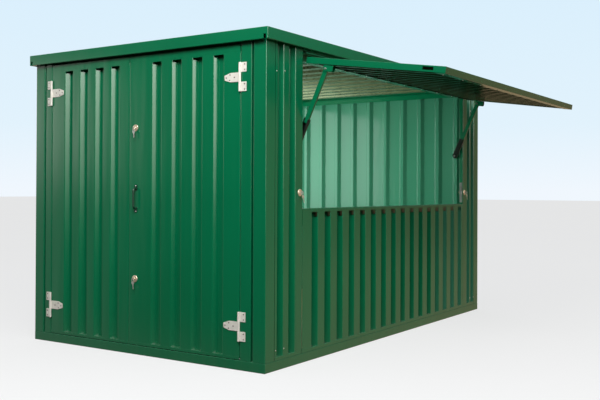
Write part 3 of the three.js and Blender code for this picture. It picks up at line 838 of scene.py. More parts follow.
KNUCKLE, KNUCKLE_LENGTH, HINGE_PIN = 0.007, 0.040, 0.0028
HEAD_STEP, HEAD_FOOT, HEAD_TAIL = 1.988, 1.955, 1.993
hinge_places = [s - END for s in (0.700, 1.723, 2.746)]
step, back = SIDE - 0.047, SIDE - 0.105
header_line = [(SIDE, WALL_TOP), (SIDE, HEAD_STEP), (step, HEAD_STEP), (step, HEAD_FOOT),
               (back, HEAD_FOOT), (back, HEAD_TAIL)]
mesh = bmesh.new()
sheet(mesh, header_line, PLATE, along_y, span)
drip = [(SIDE, 2.0095), (SIDE, 2.002), (SIDE + 0.024, 1.998), (SIDE + 0.024, 1.994)]
sheet(mesh, drip, SHEET, along_y, span, 0.001)
for y in hinge_places:
    fixed = (y - KNUCKLE_LENGTH, y - GAP)
    bar(mesh, (hatch_line.x, fixed[0], hatch_line.z), (hatch_line.x, fixed[1], hatch_line.z), KNUCKLE)
    block(mesh, (SIDE - 0.001, fixed[0], hatch_line.z + 0.001),
          (hatch_line.x, fixed[1], hatch_line.z + 0.007), 0.0005)
    bar(mesh, (hatch_line.x, y - 0.020, hatch_line.z),
        (hatch_line.x, y + KNUCKLE_LENGTH + 0.0005, hatch_line.z), HINGE_PIN, 0.0005, 16)
piece("serving_header", mesh, "store", GREEN_ROLLED, ["hatch_header"])
print("serving opening", round(FAR_REVEAL - NEAR_REVEAL, 3), "m wide,", len(hinge_places), "hinges")

# %% [markdown]
# ## Jambs, their locks and the stays' feet
#
# A channel-shaped jamb stands on each side of the opening. Each jamb holds a lock: a case inside
# it, a bright forend plate on the reveal where the bolt comes out, and a brass rose outside. The
# foot of each stay turns on a pin in a lug welded to the jamb. One loop draws both sides, and `at`
# measures from the reveal into the jamb, so the far side is a true mirror of the near one.

# %% Jambs
LOCK_INSET, LOCK_HEIGHT = 0.033, joints["hatch_key_turn_near"]["pos_m"][2]
BOLT_NEAR, BOLT_FAR, BOLT_HALF = 0.0125, 0.0235, 0.015
CASE_BACK, CASE_FRONT, CASE_HALF = 0.030, 0.0035, 0.06
ROSE, PLUG = 0.023, 0.007
STAY_INSET = 0.039
stay_foot = Vector(joints["stay_swing_near"]["pos_m"])
reveals = {"near": (NEAR_REVEAL - END, 1), "far": (FAR_REVEAL - END, -1)}


def rose(mesh, centre, out):
    turned(mesh, [(0, -0.0002), (ROSE, -0.0002), (ROSE, 0.0022), (ROSE - 0.0018, 0.0042),
                  (ROSE - 0.006, 0.0052), (PLUG + 0.0035, 0.0052), (PLUG + 0.0026, 0.0042),
                  (PLUG + 0.0006, 0.0042), (PLUG + 0.0006, 0.001), (0, 0.001)], centre, out, 48)


def forend(mesh, place, half_high, half_wide, thick):
    """A bright plate round a bolt's opening, drawn as two ends and two cheeks."""
    slot_low, slot_high = -BOLT_HALF - 0.001, BOLT_HALF + 0.001
    near, far = BOLT_NEAR - 0.001, BOLT_FAR + 0.001
    middle = (near + far) / 2
    for low, high in ((-half_high, slot_low), (slot_high, half_high)):
        block(mesh, (middle - half_wide, low, 0), (middle + half_wide, high, thick), 0.0003, place)
    for low, high in ((middle - half_wide, near), (far, middle + half_wide)):
        block(mesh, (low, slot_low, 0), (high, slot_high, thick), 0, place)


for which, (reveal, way) in reveals.items():
    at = lambda u: reveal - way * u
    line = [(SIDE, at(JAMB)), (SIDE, at(0)), (SIDE - LIP, at(0)), (SIDE - LIP, at(0.030))]
    mesh = bmesh.new()
    sheet(mesh, line[::-1] if way > 0 else line, PLATE, lambda x, y, z: (x, y, z),
          (FOOT, WALL_TOP), 0.003)
    slot = ((SIDE - BOLT_FAR - 0.001, min(at(-0.002), at(0.008)), LOCK_HEIGHT - BOLT_HALF - 0.001),
            (SIDE - BOLT_NEAR + 0.001, max(at(-0.002), at(0.008)), LOCK_HEIGHT + BOLT_HALF + 0.001))
    piece(f"serving_jamb_{which}", mesh, "store", GREEN_ROLLED, [f"hatch_jamb_{which}"],
          [box_tool(slot)])

    lock = Vector((SIDE, at(LOCK_INSET), LOCK_HEIGHT))
    mesh = bmesh.new()
    for u, v, z0, z1 in ((0.034, 0.066, -CASE_HALF, CASE_HALF), (0.004, 0.033, -CASE_HALF, -0.018),
                         (0.004, 0.033, 0.018, CASE_HALF)):
        ys = sorted((at(u), at(v)))
        block(mesh, (SIDE - CASE_BACK, ys[0], LOCK_HEIGHT + z0),
              (SIDE - CASE_FRONT, ys[1], LOCK_HEIGHT + z1), 0.001)
    forend(mesh, lambda u, v, w: (SIDE - u, at(-w), LOCK_HEIGHT + v), 0.090, 0.011, 0.0015)
    for dz in (-0.078, 0.078):
        screw(mesh, (SIDE - 0.018, at(-0.0014), LOCK_HEIGHT + dz), (0, way, 0), 0.0034)
    piece(f"serving_lock_case_{which}", mesh, "store", STEEL)

    mesh = bmesh.new()
    rose(mesh, lock, (1, 0, 0))
    bar(mesh, lock - Vector((LIP + 0.012, 0, 0)), lock - Vector((LIP - 0.004, 0, 0)), 0.0135, 0.0015)
    piece(f"serving_lock_rose_{which}", mesh, "store", BRASS)

    mesh = bmesh.new()
    lug = rounded_box(stay_foot.x - 0.017, SIDE - LIP + 0.001, stay_foot.z - 0.025,
                      stay_foot.z + 0.025, 0.006)
    plate(mesh, lug, along_y, sorted((at(0.002), at(0.008))), 0.0008)
    piece(f"stay_lug_{which}", mesh, "store", GREEN_ROLLED)
    mesh = bmesh.new()
    inner_end = STAY_INSET + 0.0125
    bar(mesh, (stay_foot.x, at(0.004), stay_foot.z),
        (stay_foot.x, at(-inner_end - 0.003), stay_foot.z), 0.005)
    hexagon(mesh, (stay_foot.x, at(-inner_end), stay_foot.z), (0, way, 0), 0.009, 0.005)
    turned(mesh, [(0.0052, 0), (0.011, 0), (0.0115, 0.0006), (0.011, 0.0014), (0.0052, 0.0014)],
           (stay_foot.x, at(-STAY_INSET + 0.0135), stay_foot.z), (0, way, 0), 28)
    piece(f"stay_pin_{which}", mesh, "store", STEEL)
print("stays stand at", [round(reveal + way * STAY_INSET, 3) for reveal, way in reveals.values()])

# %% [markdown]
# ## The hatch
#
# The hatch is a lighter version of a wall: a pressed sheet held between two rails and two side
# plates. It is drawn hanging shut about its hinge line, where its sizes are easy to read, and the
# matrix `SWUNG` turns every point to the open position. Each side plate is folded inwards at both
# edges and has a slot where the lock's bolt enters.

# %% Hatch
HATCH_TOP, HATCH_FOOT, HATCH_DEPTH, HATCH_GAP = -0.008, -0.985, 0.040, 0.018
RAIL_FACE, RAIL_FLANGE, EDGE_LIP, TIGHT = 0.026, 0.070, 0.008, 0.0014
RIVETS, RIVET_LINE, RIVET_MARGIN = 9, 0.058, 0.10
hatch_from, hatch_to = NEAR_REVEAL + HATCH_GAP, FAR_REVEAL - HATCH_GAP
on_hatch = FACES["hatch"]
edge_slot = (HATCH_FOOT + 0.080, HATCH_FOOT + 0.150)

mesh = bmesh.new()
hatch_line_of_sheet = pressed(hatch_from + SHEET, hatch_to - SHEET, hatch_valleys)
sheet(mesh, hatch_line_of_sheet, SHEET, on_hatch,
      (HATCH_FOOT + RAIL_FACE + GAP, HATCH_TOP - RAIL_FACE - GAP), PRESS)
piece("hatch_pressing", mesh, "hatch", GREEN_HATCH_SHADED_BELOW, ["hatch_sheet"])

for which, s, way in (("near", hatch_from, 1), ("far", hatch_to, -1)):
    mesh = bmesh.new()
    lip = s + way * EDGE_LIP
    line = [(lip, -HATCH_DEPTH), (s, -HATCH_DEPTH), (s, PROUD), (lip, PROUD)]
    sheet(mesh, line if way > 0 else line[::-1], SHEET, on_hatch, (HATCH_FOOT, HATCH_TOP), TIGHT)
    low, high = sorted((s - way * 0.003, s + way * 0.006))
    tool = box_tool(((low, -0.028, edge_slot[0]), (high, -0.008, edge_slot[1])), place=on_hatch)
    piece(f"hatch_side_{which}", mesh, "hatch", GREEN_ROLLED, (), [tool])


def hatch_rail(mesh, edge, way):
    face, back = 0.0, -HATCH_DEPTH - SHEET - GAP
    line = [(face, edge + way * RAIL_FACE), (face, edge), (back, edge), (back, edge + way * RAIL_FLANGE)]
    ends = (hatch_from + SHEET + GAP, hatch_to - SHEET - GAP)
    sheet(mesh, line if way > 0 else line[::-1], SHEET, lambda d, z, s: on_hatch(s, d, z), ends, TIGHT)


mesh = bmesh.new()
hatch_rail(mesh, HATCH_TOP, -1)
for y in hinge_places:
    ends = (y + END, y + END + KNUCKLE_LENGTH)
    start, stop = (on_hatch(s, HINGE_PROUD, 0) for s in ends)
    knuckle(mesh, 0.0033, KNUCKLE, KNUCKLE_LENGTH, 0.0005, start, stop - start)
    block(mesh, (ends[0], 0.0002, -0.032), (ends[1], 0.003, -0.004), 0.0006, on_hatch)
    block(mesh, (ends[0], 0.0, -0.0065), (ends[1], HINGE_PROUD - 0.0035, -0.0035), 0.0006, on_hatch)
piece("hatch_top_rail", mesh, "hatch", GREEN_HATCH_SHADED_BELOW, ["hatch_hinge_rail"])
mesh = bmesh.new()
hatch_rail(mesh, HATCH_FOOT, 1)
piece("hatch_bottom_rail", mesh, "hatch", GREEN_HATCH_SHADED_BELOW, ["hatch_free_rail"])
mesh = bmesh.new()
inner = SWUNG.to_3x3() @ Vector((-1, 0, 0))
for edge in (HATCH_TOP - RIVET_LINE, HATCH_FOOT + RIVET_LINE):
    for i in range(RIVETS):
        s = hatch_from + RIVET_MARGIN + i * (hatch_to - hatch_from - 2 * RIVET_MARGIN) / (RIVETS - 1)
        screw(mesh, on_hatch(s, -HATCH_DEPTH - SHEET - GAP, edge), inner, 0.0038)
piece("hatch_rivets", mesh, "hatch", STEEL)
print("hatch", round(hatch_to - hatch_from, 3), "m wide")

# %% [markdown]
# ## Stays
#
# Two telescopic stays hold the hatch up. The lower half is a black sleeve that turns on the jamb,
# the upper half is a green arm that slides in it, and its eye is bolted between the cheeks of a
# bracket on the hatch. A stay is drawn upright at its foot and then leant over by the direction in
# which its arm slides, which the frame gives.

# %% Stays
ARM_WIDE, ARM_THICK, ARM_START = 0.032, 0.016, 0.135
SLEEVE_WIDE, SLEEVE_THICK, SLEEVE_WALL, SLEEVE_LENGTH = 0.042, 0.024, 0.003, 0.165
PIVOT_IN, PIVOT_DOWN = 0.075, 0.156
CHEEK_THICK, CHEEK_ROUND = 0.003, 0.012
eye = SWUNG @ Vector((-PIVOT_IN, 0, -PIVOT_DOWN))
lean_of = Vector((eye.x - stay_foot.x, eye.z - stay_foot.z))
stay_length = lean_of.length
lean = math.atan2(lean_of.x, lean_of.y)
for which, (reveal, way) in reveals.items():
    y = reveal + way * STAY_INSET
    upright = Matrix.Translation((stay_foot.x, y, stay_foot.z)) @ Matrix.Rotation(lean, 4, "Y")
    at = lambda u, v, w: upright @ Vector((u, w, v))

    mesh = bmesh.new()
    half = SLEEVE_WIDE / 2
    heel = round_points((0, 0), half, 180, 360, 16)
    plate(mesh, heel + [(half, 0.014), (-half, 0.014)], at, (-SLEEVE_THICK / 2, SLEEVE_THICK / 2),
          0.0015)
    jamb_side = -way * SLEEVE_THICK / 2
    channel = [(-half + 0.009, jamb_side), (-half, jamb_side), (-half, -jamb_side), (half, -jamb_side),
               (half, jamb_side), (half - 0.009, jamb_side)]
    sheet(mesh, channel if way > 0 else channel[::-1], SLEEVE_WALL,
          lambda u, w, z: upright @ Vector((u, w, z)), (0.012, SLEEVE_LENGTH), 0.0015)
    piece(f"stay_outer_{which}", mesh, f"stay_sleeve_{which}", BLACK,
          [f"stay_sleeve_{which}"])

    mesh = bmesh.new()
    half = ARM_WIDE / 2
    head = round_points((0, stay_length), half, 0, 180, 16)
    plate(mesh, [(-half, ARM_START), (half, ARM_START)] + head, at, (-ARM_THICK / 2, ARM_THICK / 2),
          0.002)
    piece(f"stay_inner_{which}", mesh, f"stay_arm_{which}", GREEN_ROLLED,
          [f"stay_arm_{which}"])

    cheek = SLEEVE_THICK / 2 + 0.001
    back = -HATCH_DEPTH - HINGE_PROUD - 0.002
    low_z, high_z, web_top = -PIVOT_DOWN - 0.055, -PIVOT_DOWN + 0.015, -PIVOT_DOWN - 0.013
    mesh = bmesh.new()
    web = rounded_box(-cheek - CHEEK_THICK, cheek + CHEEK_THICK, low_z, web_top, 0.002)
    plate(mesh, web, lambda v, z, x: SWUNG @ Vector((x, y + v, z)), (back - CHEEK_THICK, back), 0.0006)
    tip = -PIVOT_IN - 0.018 + CHEEK_ROUND
    outline = [(back, low_z), (back, high_z)]
    outline += round_points((tip, high_z - CHEEK_ROUND), CHEEK_ROUND, 90, 180, 5)
    outline += round_points((tip, low_z + CHEEK_ROUND), CHEEK_ROUND, 180, 270, 5)
    for side in (-1, 1):
        ends = sorted((side * cheek, side * (cheek + CHEEK_THICK)))
        plate(mesh, outline, lambda x, z, v: SWUNG @ Vector((x, y + v, z)), ends, 0.0006)
    piece(f"stay_bracket_{which}_folded", mesh, "hatch", GREEN_ROLLED,
          [f"stay_bracket_{which}"])
    mesh = bmesh.new()
    for side in (-1, 1):
        hub = SWUNG @ Vector((-PIVOT_IN, y + side * (cheek + CHEEK_THICK), -PIVOT_DOWN))
        hexagon(mesh, hub, (0, side, 0), 0.0085, 0.005)
        bar(mesh, hub, hub + Vector((0, side * 0.0078, 0)), 0.0042, 0.0008, 16)
    for z in (low_z + 0.010, web_top - 0.010):
        screw(mesh, SWUNG @ Vector((back - CHEEK_THICK, y, z)), inner, 0.0042)
    piece(f"stay_bolts_{which}", mesh, "hatch", STEEL)
print("stays", round(stay_length, 3), "m long, leaning", round(math.degrees(lean), 1), "degrees")

# %% [markdown]
# ## Door frame
#
# A folded strip on each side fills the space between the corner post and the leaf. The frame's
# joints say where the hinge lines are, and both strips and both leaves are measured from them.

# %% Door frame
LEFT_HINGE = joints["left_door_swing"]["pos_m"][0] + SIDE
RIGHT_HINGE = joints["right_door_swing"]["pos_m"][0] + SIDE
STOP, JAMB_TAIL = LIP + 0.003, 0.022
jambs = {
    "left": [(0.080, -LIP - 0.002), (0.110, -LIP - 0.002), (0.110, 0), (LEFT_HINGE - 0.002, 0),
             (LEFT_HINGE - 0.002, -STOP), (LEFT_HINGE + JAMB_TAIL, -STOP)],
    "right": [(RIGHT_HINGE - JAMB_TAIL, -STOP), (RIGHT_HINGE + 0.002, -STOP), (RIGHT_HINGE + 0.002, 0),
              (1.990, 0), (1.990, -LIP - 0.002), (2.020, -LIP - 0.002)],
}
for side, line in jambs.items():
    mesh = bmesh.new()
    sheet(mesh, line, PLATE, FACES["front"], (FOOT, WALL_TOP), 0.003)
    piece(f"door_frame_{side}", mesh, "store", GREEN_ROLLED, [f"door_jamb_{side}"])
print("door opening", round(RIGHT_HINGE - LEFT_HINGE, 3), "m wide")

# %% [markdown]
# ## Door leaves
#
# Each leaf is a pressed sheet whose two upright edges turn back, on the same foot channel as the
# walls, with a folded band across its top. The valleys run up behind the band and stay open there,
# and a strip behind the openings keeps out the light, so the top of each one looks black. A thin
# lip on the right leaf covers the seam where the two leaves meet.

# %% Leaves
MEETING = 0.958
DOOR_FOOT, DOOR_SHEET_TOP, DOOR_TOP = 0.066, 1.958, 2.012
BAND_FOOT = DOOR_SHEET_TOP + 0.011
STRIP_DEEP, STRIP_THICK = 0.0018, 0.0012
EDGE_CLEAR = {"left": 0.004, "right": 0.030}
DOOR_VALLEY = 0.083
DOOR_LOCK = joints["door_key_turn_upper"]["pos_m"][0] + SIDE
door_locks = {level: joints[f"door_key_turn_{level}"]["pos_m"][2] for level in ("upper", "lower")}

leaves = {
    "left": (LEFT_HINGE + 0.002, MEETING - 0.002, valleys(0.3125, 0.1552, DOOR_VALLEY, 4)),
    "right": (MEETING + 0.002, RIGHT_HINGE - 0.002, valleys(1.164, 0.175, DOOR_VALLEY, 4)),
}
front = FACES["front"]
for side, (start, stop, ribs) in leaves.items():
    body = f"{side}_leaf"
    line = [(start, -LIP)] + pressed(start, stop, ribs) + [(stop, -LIP)]
    strip = [(start, -LIP), (start, 0), (stop, 0), (stop, -LIP)]
    meeting_edge = stop if side == "left" else start
    bolt_holes = [((meeting_edge - 0.004, -BOLT_FAR - 0.002, z - BOLT_HALF - 0.003),
                   (meeting_edge + 0.004, -BOLT_NEAR + 0.002, z + BOLT_HALF + 0.003))
                  for z in door_locks.values()]
    mesh = bmesh.new()
    panel(mesh, "front", line, DOOR_SHEET_TOP)
    cutters = [box_tool(*bolt_holes, place=front), slits("front", ribs, DOOR_SHEET_TOP)]
    piece(f"{side}_leaf_pressing", mesh, body, GREEN, [f"{side}_leaf_sheet"], cutters)
    mesh = bmesh.new()
    sheet(mesh, strip, SHEET, front, (DOOR_SHEET_TOP, BAND_FOOT), PRESS)
    block(mesh, (start + 0.030, -RIB_DEPTH - STRIP_DEEP - STRIP_THICK, DOOR_SHEET_TOP - 0.050),
          (stop - EDGE_CLEAR[side], -RIB_DEPTH - STRIP_DEEP, DOOR_TOP - 0.022), 0, front)
    piece(f"{side}_leaf_strip", mesh, body, GREEN)
    mesh = bmesh.new()
    foot_channel(mesh, "front", line, DOOR_FOOT)
    piece(f"{side}_leaf_foot", mesh, body, GREEN_ROLLED)
    mesh = bmesh.new()
    top = [(-END, BAND_FOOT + GAP), (-END, DOOR_TOP), (-END + LIP, DOOR_TOP),
           (-END + LIP, DOOR_TOP - 0.037)]
    sheet(mesh, top, SHEET, along_x, (start - SIDE, stop - SIDE), 0.0016)
    piece(f"{side}_leaf_band", mesh, body, GREEN, [f"{side}_leaf_top"])
mesh = bmesh.new()
block(mesh, (MEETING - 0.0003, -0.0022, BAND_TOP + 0.002), (MEETING + 0.003, -0.0010, DOOR_SHEET_TOP),
      0, front)
piece("meeting_lip", mesh, "right_leaf", GREEN)
print("leaves:", {side: round(stop - start, 3) for side, (start, stop, _) in leaves.items()})

# %% [markdown]
# ## T hinges
#
# Each hinge has two square pads on the frame with the barrel between them and a strap that reaches
# along the leaf. They are pressed from 4 mm plate, so their edges are soft, and each screw head
# stands a little proud. Plain boxes would lose the rolled barrel, which is what makes the piece read
# as a hinge.

# %% Hinges
BARREL, BARREL_OUT = 0.008, 0.0085
HINGE_HALF, STRAP_KNUCKLE = 0.090, 0.030
STRAP_REACH, STRAP_HALF, STRAP_THICK = 0.123, 0.029, 0.004
hinge_heights = {level: sum(corner.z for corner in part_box(f"hinge_plate_left_{level}")) / 2
                 for level in ("upper", "lower")}
PAD_REACH, TAPER_FROM, TIP_HALF, PIN = 0.047, 0.078, 0.015, 0.0038
STRAP_OUTLINE = [(0, -STRAP_HALF), (TAPER_FROM, -STRAP_HALF), (STRAP_REACH, -TIP_HALF),
                 (STRAP_REACH, TIP_HALF), (TAPER_FROM, STRAP_HALF), (0, STRAP_HALF)]
STRAP_SCREWS = ((0.046, 0.0), (0.080, 0.017), (0.083, -0.017), (0.110, 0.0))
outward = Vector((0, -1, 0))
for side, axis, way in (("left", LEFT_HINGE, 1), ("right", RIGHT_HINGE, -1)):
    for level, z in hinge_heights.items():
        centre = Vector((axis - SIDE, -END - BARREL_OUT, z))
        on_frame = lambda u, v, w: (axis - SIDE - way * u, -END - w, z + v)
        mesh = bmesh.new()
        pin_end = Vector((0, 0, HINGE_HALF + 0.001))
        bar(mesh, centre - pin_end, centre + pin_end, PIN)
        for end in (-1, 1):
            zs = sorted((end * (STRAP_KNUCKLE + GAP), end * HINGE_HALF))
            bar(mesh, centre + Vector((0, 0, zs[0])), centre + Vector((0, 0, zs[1])), BARREL, 0.0008)
            pad = rounded_box(0, PAD_REACH, zs[0], zs[1], 0.003)
            plate(mesh, pad, on_frame, (GAP, STRAP_THICK), 0.0007)
            block(mesh, (0.0, zs[0], STRAP_THICK - 0.001), (0.006, zs[1], BARREL_OUT), 0.0006, on_frame)
        piece(f"hinge_pads_{side}_{level}", mesh, "store", ZINC,
              [f"hinge_plate_{side}_{level}"])
        mesh = bmesh.new()
        for end in (-1, 1):
            for offset in (STRAP_KNUCKLE + 0.014, HINGE_HALF - 0.013):
                screw(mesh, on_frame(0.034, end * offset, STRAP_THICK), outward)
        piece(f"hinge_pad_screws_{side}_{level}", mesh, "store", SCREWS)

        on_leaf = lambda u, v, w: (axis - SIDE + way * u, -END - w, z + v)
        mesh = bmesh.new()
        low, high = (centre + Vector((0, 0, k * (STRAP_KNUCKLE - GAP))) for k in (-1, 1))
        knuckle(mesh, 0.0044, BARREL, 2 * STRAP_KNUCKLE - 2 * GAP, 0.0008, low, high - low)
        plate(mesh, STRAP_OUTLINE, on_leaf, (GAP, STRAP_THICK), 0.0007)
        block(mesh, (0.0045, -STRAP_HALF, STRAP_THICK - 0.001), (0.0075, STRAP_HALF, BARREL_OUT),
              0.0006, on_leaf)
        body = f"{side}_leaf"
        piece(f"hinge_tongue_{side}_{level}", mesh, body, ZINC,
              [f"hinge_strap_{side}_{level}"])
        mesh = bmesh.new()
        for u, v in STRAP_SCREWS:
            screw(mesh, on_leaf(u, v, STRAP_THICK), outward)
        piece(f"hinge_tongue_screws_{side}_{level}", mesh, body, SCREWS)
print("hinges at", [round(z, 3) for z in hinge_heights.values()])

# %% [markdown]
# ## Pull handle
#
# A bent round bar welded to two small pads and painted with the leaf; its green is drawn much darker
# than the leaf's, as painted shade. The bar follows a rounded path, and the tube helper carries one
# circle along it without twisting.

# %% Handle
low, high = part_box("pull_handle")
handle_x = (low.x + high.x) / 2
BAR_RADIUS, BEND, PAD_WIDE, PAD_TALL = 0.0064, 0.016, 0.013, 0.018
foot_low, foot_high = low.z + 0.026, high.z - 0.026
out = low.y + 0.0066
path = [(handle_x, -END - 0.001, foot_low)]
for centre_z, first, last in ((foot_low + BEND, 270, 180), (foot_high - BEND, 180, 90)):
    path += [(handle_x, y, z) for y, z in round_points((out + BEND, centre_z), BEND, first, last, 6)]
path.append((handle_x, -END - 0.001, foot_high))
mesh = bmesh.new()
tube(mesh, path, BAR_RADIUS, 18)
for z in (low.z + PAD_TALL, high.z - PAD_TALL):
    pad = rounded_box(handle_x - PAD_WIDE, handle_x + PAD_WIDE, z - PAD_TALL, z + PAD_TALL, 0.006)
    plate(mesh, pad, lambda x, v, y: (x, -END - y, v), (GAP, 0.0033), 0.0008)
piece("grab_handle", mesh, "right_leaf", GREEN_HANDLE_SHADED, ["pull_handle"])
mesh = bmesh.new()
for z in (low.z + 0.008, high.z - 0.008):
    screw(mesh, (handle_x, -END - 0.0033, z), outward, 0.004)
piece("grab_handle_screws", mesh, "right_leaf", STEEL)
print("handle", round(high.z - low.z, 3), "m tall")

# %% [markdown]
# ## Locks and keys
#
# There are two locks in the right leaf and one in each jamb of the serving opening. Each shows a
# round rose with a plug in it and a key in the plug, and from the key's bow hangs a ring with the
# spare key. They are drawn for one lock and placed four times; a spare key hangs a little aslant.
# The bolt is a plain bar, so only its softened edges and its finish matter.

# %% Locks
BOW_SIDES, BOW_RADIUS, BOW_HALF, RING_RADIUS = 24, 0.0115, 0.0011, 0.0105


def key_blade(mesh, place):
    """A key's bow and blade in its own plane, the bow's hole at the origin and the blade along -v."""
    last = 360 - 360 / BOW_SIDES
    rim = round_points((0, -0.0065), BOW_RADIUS, 0, last, BOW_SIDES - 1)
    hole = round_points((0, 0), 0.003, 0, last, BOW_SIDES - 1)
    (a, c), (b, d) = [[[mesh.verts.new(place(u, v, w)) for u, v in outline] for outline in (rim, hole)]
                      for w in (-BOW_HALF, BOW_HALF)]
    for i in range(BOW_SIDES):
        k = (i + 1) % BOW_SIDES
        for quad in ((a[i], a[k], b[k], b[i]), (c[i], c[k], d[k], d[i]),
                     (a[i], a[k], c[k], c[i]), (b[i], b[k], d[k], d[i])):
            mesh.faces.new(quad)
    blade = [(-0.0036, -0.0165), (0.0036, -0.0165), (0.0036, -0.030), (0.0018, -0.032),
             (0.0030, -0.0345), (0.0012, -0.037), (0.0030, -0.040), (0.0016, -0.043),
             (0.0026, -0.046), (0.0, -0.050), (-0.0036, -0.047)]
    plate(mesh, blade, place, (-0.0010, 0.0010), 0.0003)


def key_set(name, body, lock, out, side, node, lean):
    """The key in its plug, a ring through the bow and a spare key hanging from the ring."""
    down = Vector((0, 0, -1))
    mesh = bmesh.new()
    turned(mesh, [(0, -0.008), (PLUG, -0.008), (PLUG, 0.0070), (PLUG - 0.0006, 0.0076), (0.0026, 0.0076),
                  (0.0022, 0.0066), (0, 0.0066)], lock, out, 28)
    piece(name + "_plug", mesh, body, BRASS)
    mesh = bmesh.new()
    key_blade(mesh, lambda u, v, w: lock + out * (0.0240 + v) + down * u + side * w)
    piece(name + "_key", mesh, body, STEEL, [node])
    mesh = bmesh.new()
    ring_centre = lock + out * 0.0223 + down * 0.0098
    loop = round_points((0, 0), RING_RADIUS, 0, 348, 29)
    tube(mesh, [ring_centre + side * x + down * z for x, z in loop], 0.0008, 8, True)
    blade_way = (down + side * lean).normalized()
    flat = (side - down * lean).normalized()
    hung = ring_centre + down * 0.0098 + side * lean * 0.010
    key_blade(mesh, lambda u, v, w: hung - blade_way * v + flat * u + out * w)
    piece(name + "_spare", mesh, body, STEEL)


for level, z in door_locks.items():
    lock = Vector((DOOR_LOCK - SIDE, -END, z))
    mesh = bmesh.new()
    rose(mesh, lock, (0, -1, 0))
    piece(f"door_rose_{level}", mesh, "right_leaf", BRASS, [f"door_lock_case_{level}"])
    mesh = bmesh.new()
    outer, middle, inmost = -END + SHEET + 0.001, -END + BOLT_FAR + 0.001, -END + 0.028
    shift = Vector((lock.x, 0, z))
    for low, high in (((-0.054, middle, -CASE_HALF), (0.033, inmost, CASE_HALF)),
                      ((-0.054, outer, 0.017), (0.033, middle, CASE_HALF)),
                      ((-0.054, outer, -CASE_HALF), (0.033, middle, -0.017)),
                      ((-0.015, outer, -0.017), (0.033, middle, 0.017))):
        block(mesh, Vector(low) + shift, Vector(high) + shift, 0.0006)
    forend(mesh, lambda u, v, w: (MEETING + 0.002 - SIDE - w, -END + u, z + v), 0.075, 0.010, 0.0012)
    piece(f"door_lock_box_{level}", mesh, "right_leaf", STEEL)
    mesh = bmesh.new()
    low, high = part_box(f"door_lock_bolt_{level}")
    block(mesh, low, high, 0.0012)
    piece(f"door_bolt_bar_{level}", mesh, f"door_bolt_{level}", STEEL,
          [f"door_lock_bolt_{level}"])
    key_set(f"door_{level}", f"door_key_{level}", lock, outward, Vector((1, 0, 0)),
            f"door_lock_key_{level}", 0.12)

for which, (reveal, way) in reveals.items():
    lock = Vector((SIDE, reveal - way * LOCK_INSET, LOCK_HEIGHT))
    mesh = bmesh.new()
    low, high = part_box(f"hatch_lock_bolt_{which}")
    block(mesh, low, high, 0.0012)
    piece(f"serving_bolt_bar_{which}", mesh, f"hatch_bolt_{which}", STEEL,
          [f"hatch_lock_bolt_{which}"])
    key_set(f"serving_{which}", f"hatch_key_{which}", lock, Vector((1, 0, 0)), outward,
            f"hatch_lock_key_{which}", -0.30)
print("locks: four, each with a spare key")

# %% [markdown]
# ## Small fixings
#
# The sheets are bolted to the posts from outside. A few round heads show near the top and foot of
# the piers. They are one piece, because they share a finish and never move apart.

# %% Fixings
mesh = bmesh.new()
for s, z in ((0.112, 1.845), (0.200, 1.854), (0.112, 0.125), (0.200, 0.125),
             (3.290, 1.854), (3.212, 1.845), (3.290, 0.125), (3.212, 0.125)):
    screw(mesh, FACES["right"](s, 0, z), (1, 0, 0), 0.0042)
piece("pier_bolts", mesh, "store", STEEL)
print("fixings placed")

# %% [markdown]
# ## Floor
#
# The store stands on a plain pale floor that glows a little of itself, as a backdrop lit from
# below does, so the floor stays even without a lamp that would flood the paint. It is hidden from
# reflections and from bounced light, which would wash out the lower half of the gloss.

# %% Floor
mesh = bmesh.new()
bmesh.ops.create_grid(mesh, x_segments=4, y_segments=4, size=90)
data = bpy.data.meshes.new("studio_floor")
mesh.to_mesh(data)
mesh.free()
floor = bpy.data.objects.new("studio_floor", data)
floor.location.z = -0.0006
scene.collection.objects.link(floor)
pale = Finish("pale_floor")
haze = pale.noise(pale.place, 0.4, 2.0)
pale.set(
    Base_Color=pale.mixed(haze, colour(0.175, 0.175, 0.175), colour(0.185, 0.185, 0.185)),
    Roughness=1.0,
    Specular_IOR_Level=0.0,
    Emission_Color=colour(1.0, 1.0, 1.0),
    Emission_Strength=0.68,
)
floor.data.materials.append(pale.material)
floor.visible_glossy = False
floor.visible_diffuse = False
print("floor at", round(floor.location.z, 4), "m")

# %% [markdown]
# ## The room that the paint reflects
#
# What gloss paint shows is the room round it, so the world is a simple room: dark in front of the
# doors, brown behind the hatch side, a dim sky above and a bright window low on each side, which
# only reflections see. The camera sees a pale sky instead. Ramps on the height of a ray draw the
# walls of the room, and clamped sums on its direction draw the windows.

# %% World
world = bpy.data.worlds.new("studio")
world.use_nodes = True
scene.world = world
room = Nodes(world.node_tree)
backdrop = world.node_tree.nodes["Background"]
direction = room.node("TexCoord", "Generated")
east, north, height = (room.node("SeparateXYZ", axis, Vector=direction) for axis in "XYZ")
above_ground = room.node("ValToRGB", stops=[
    (0.0, colour(0.05, 0.05, 0.03)), (0.43, colour(0.05, 0.05, 0.03)),
    (0.47, colour(0.015, 0.02, 0.012)), (0.58, colour(0.03, 0.03, 0.028)),
    (0.68, colour(0.36, 0.38, 0.40)), (1.0, colour(0.62, 0.66, 0.70))], Fac=height * 0.5 + 0.5)
behind = room.node("ValToRGB", stops=[
    (0.0, colour(0.40, 0.32, 0.18)), (0.45, colour(0.52, 0.42, 0.24)),
    (0.475, colour(0.33, 0.25, 0.14)), (0.535, colour(0.36, 0.27, 0.15)),
    (0.565, colour(0.08, 0.08, 0.06)), (0.68, colour(0.50, 0.53, 0.55)),
    (1.0, colour(1.0, 1.05, 1.1))], Fac=height * 0.5 + 0.5)
around = room.mixed((north * 2.0).clamped(), above_ground, behind)
over_horizon = ((height + 0.03) * 8.0).clamped()
under_roof = (1 - (height - 0.125) * 25.0).clamped()
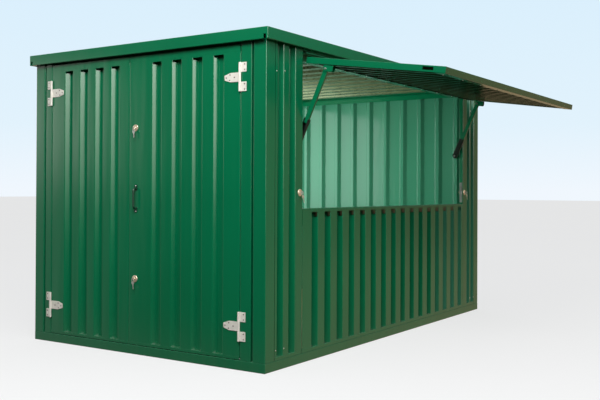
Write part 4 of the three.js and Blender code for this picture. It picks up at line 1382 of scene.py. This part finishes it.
right_window = ((east - 0.80) * 9.0).clamped() * over_horizon
left_strength = ((height + 0.01) * 18.0).clamped() * 2.15 + 0.50
left_window = ((east * -1.0 - 0.68) * 8.0).clamped() * under_roof * left_strength
shine = room.node("LightPath", "Is Glossy Ray")
glow = (right_window * 6.0 + left_window) * shine
seen = room.node("ValToRGB", stops=[
    (0.0, colour(0.87, 0.93, 0.99)), (0.30, colour(0.76, 0.89, 0.98)), (1.0, colour(0.69, 0.86, 0.98))],
    Fac=(height * 4.0).clamped())
camera_sees = room.node("LightPath", "Is Camera Ray")
put(backdrop.inputs["Color"], room.mixed(camera_sees, around, seen))
window_light = room.node("Background", Color=colour(1.0, 0.97, 0.9), Strength=glow)
both = room.node("AddShader", **{"0": Value(backdrop.outputs[0]), "1": window_light})
put(world.node_tree.nodes["World Output"].inputs["Surface"], both)
print("world has", len(world.node_tree.nodes), "nodes")

# %% [markdown]
# ## Lamps
#
# One soft lamp lights the doors and one the hatch side. Inside, one lamp that throws no reflection
# lights the rear wall, and a soft panel on the left wall is what the rear wall's paint reflects.
# Large area lamps are used because their reflections in gloss paint have soft edges.

# %% Lamps

def soft_lamp(name, place, target, size, power, tint=(1, 1, 1)):
    lamp = bpy.data.lights.new(name, "AREA")
    lamp.shape = "RECTANGLE"
    lamp.size, lamp.size_y = size
    lamp.energy = power
    lamp.color = tint
    thing = bpy.data.objects.new(name, lamp)
    scene.collection.objects.link(thing)
    thing.location = place
    thing.rotation_euler = (Vector(target) - Vector(place)).to_track_quat("-Z", "Y").to_euler()
    thing.visible_camera = False
    return thing


soft_lamp("door_softbox", (1.9, -4.6, 4.3), (-0.1, -1.7, 1.6), (2.4, 1.6), 232)
soft_lamp("side_softbox", (6.0, -2.8, 4.4), (1.05, -0.9, 0.9), (5.0, 4.0), 170)
inside = soft_lamp("inside_lamp", (0.1, -1.30, 1.40), (-0.30, 1.66, 1.20), (1.6, 0.7), 15,
                   (1.0, 1.0, 0.95))
inside.data.spread = math.radians(75)
inside.visible_glossy = False
soft_lamp("inside_panel", (-0.96, 0.68, 1.44), (1.0, 0.68, 1.44), (1.85, 1.10), 17)
scene.view_settings.view_transform = "Standard"
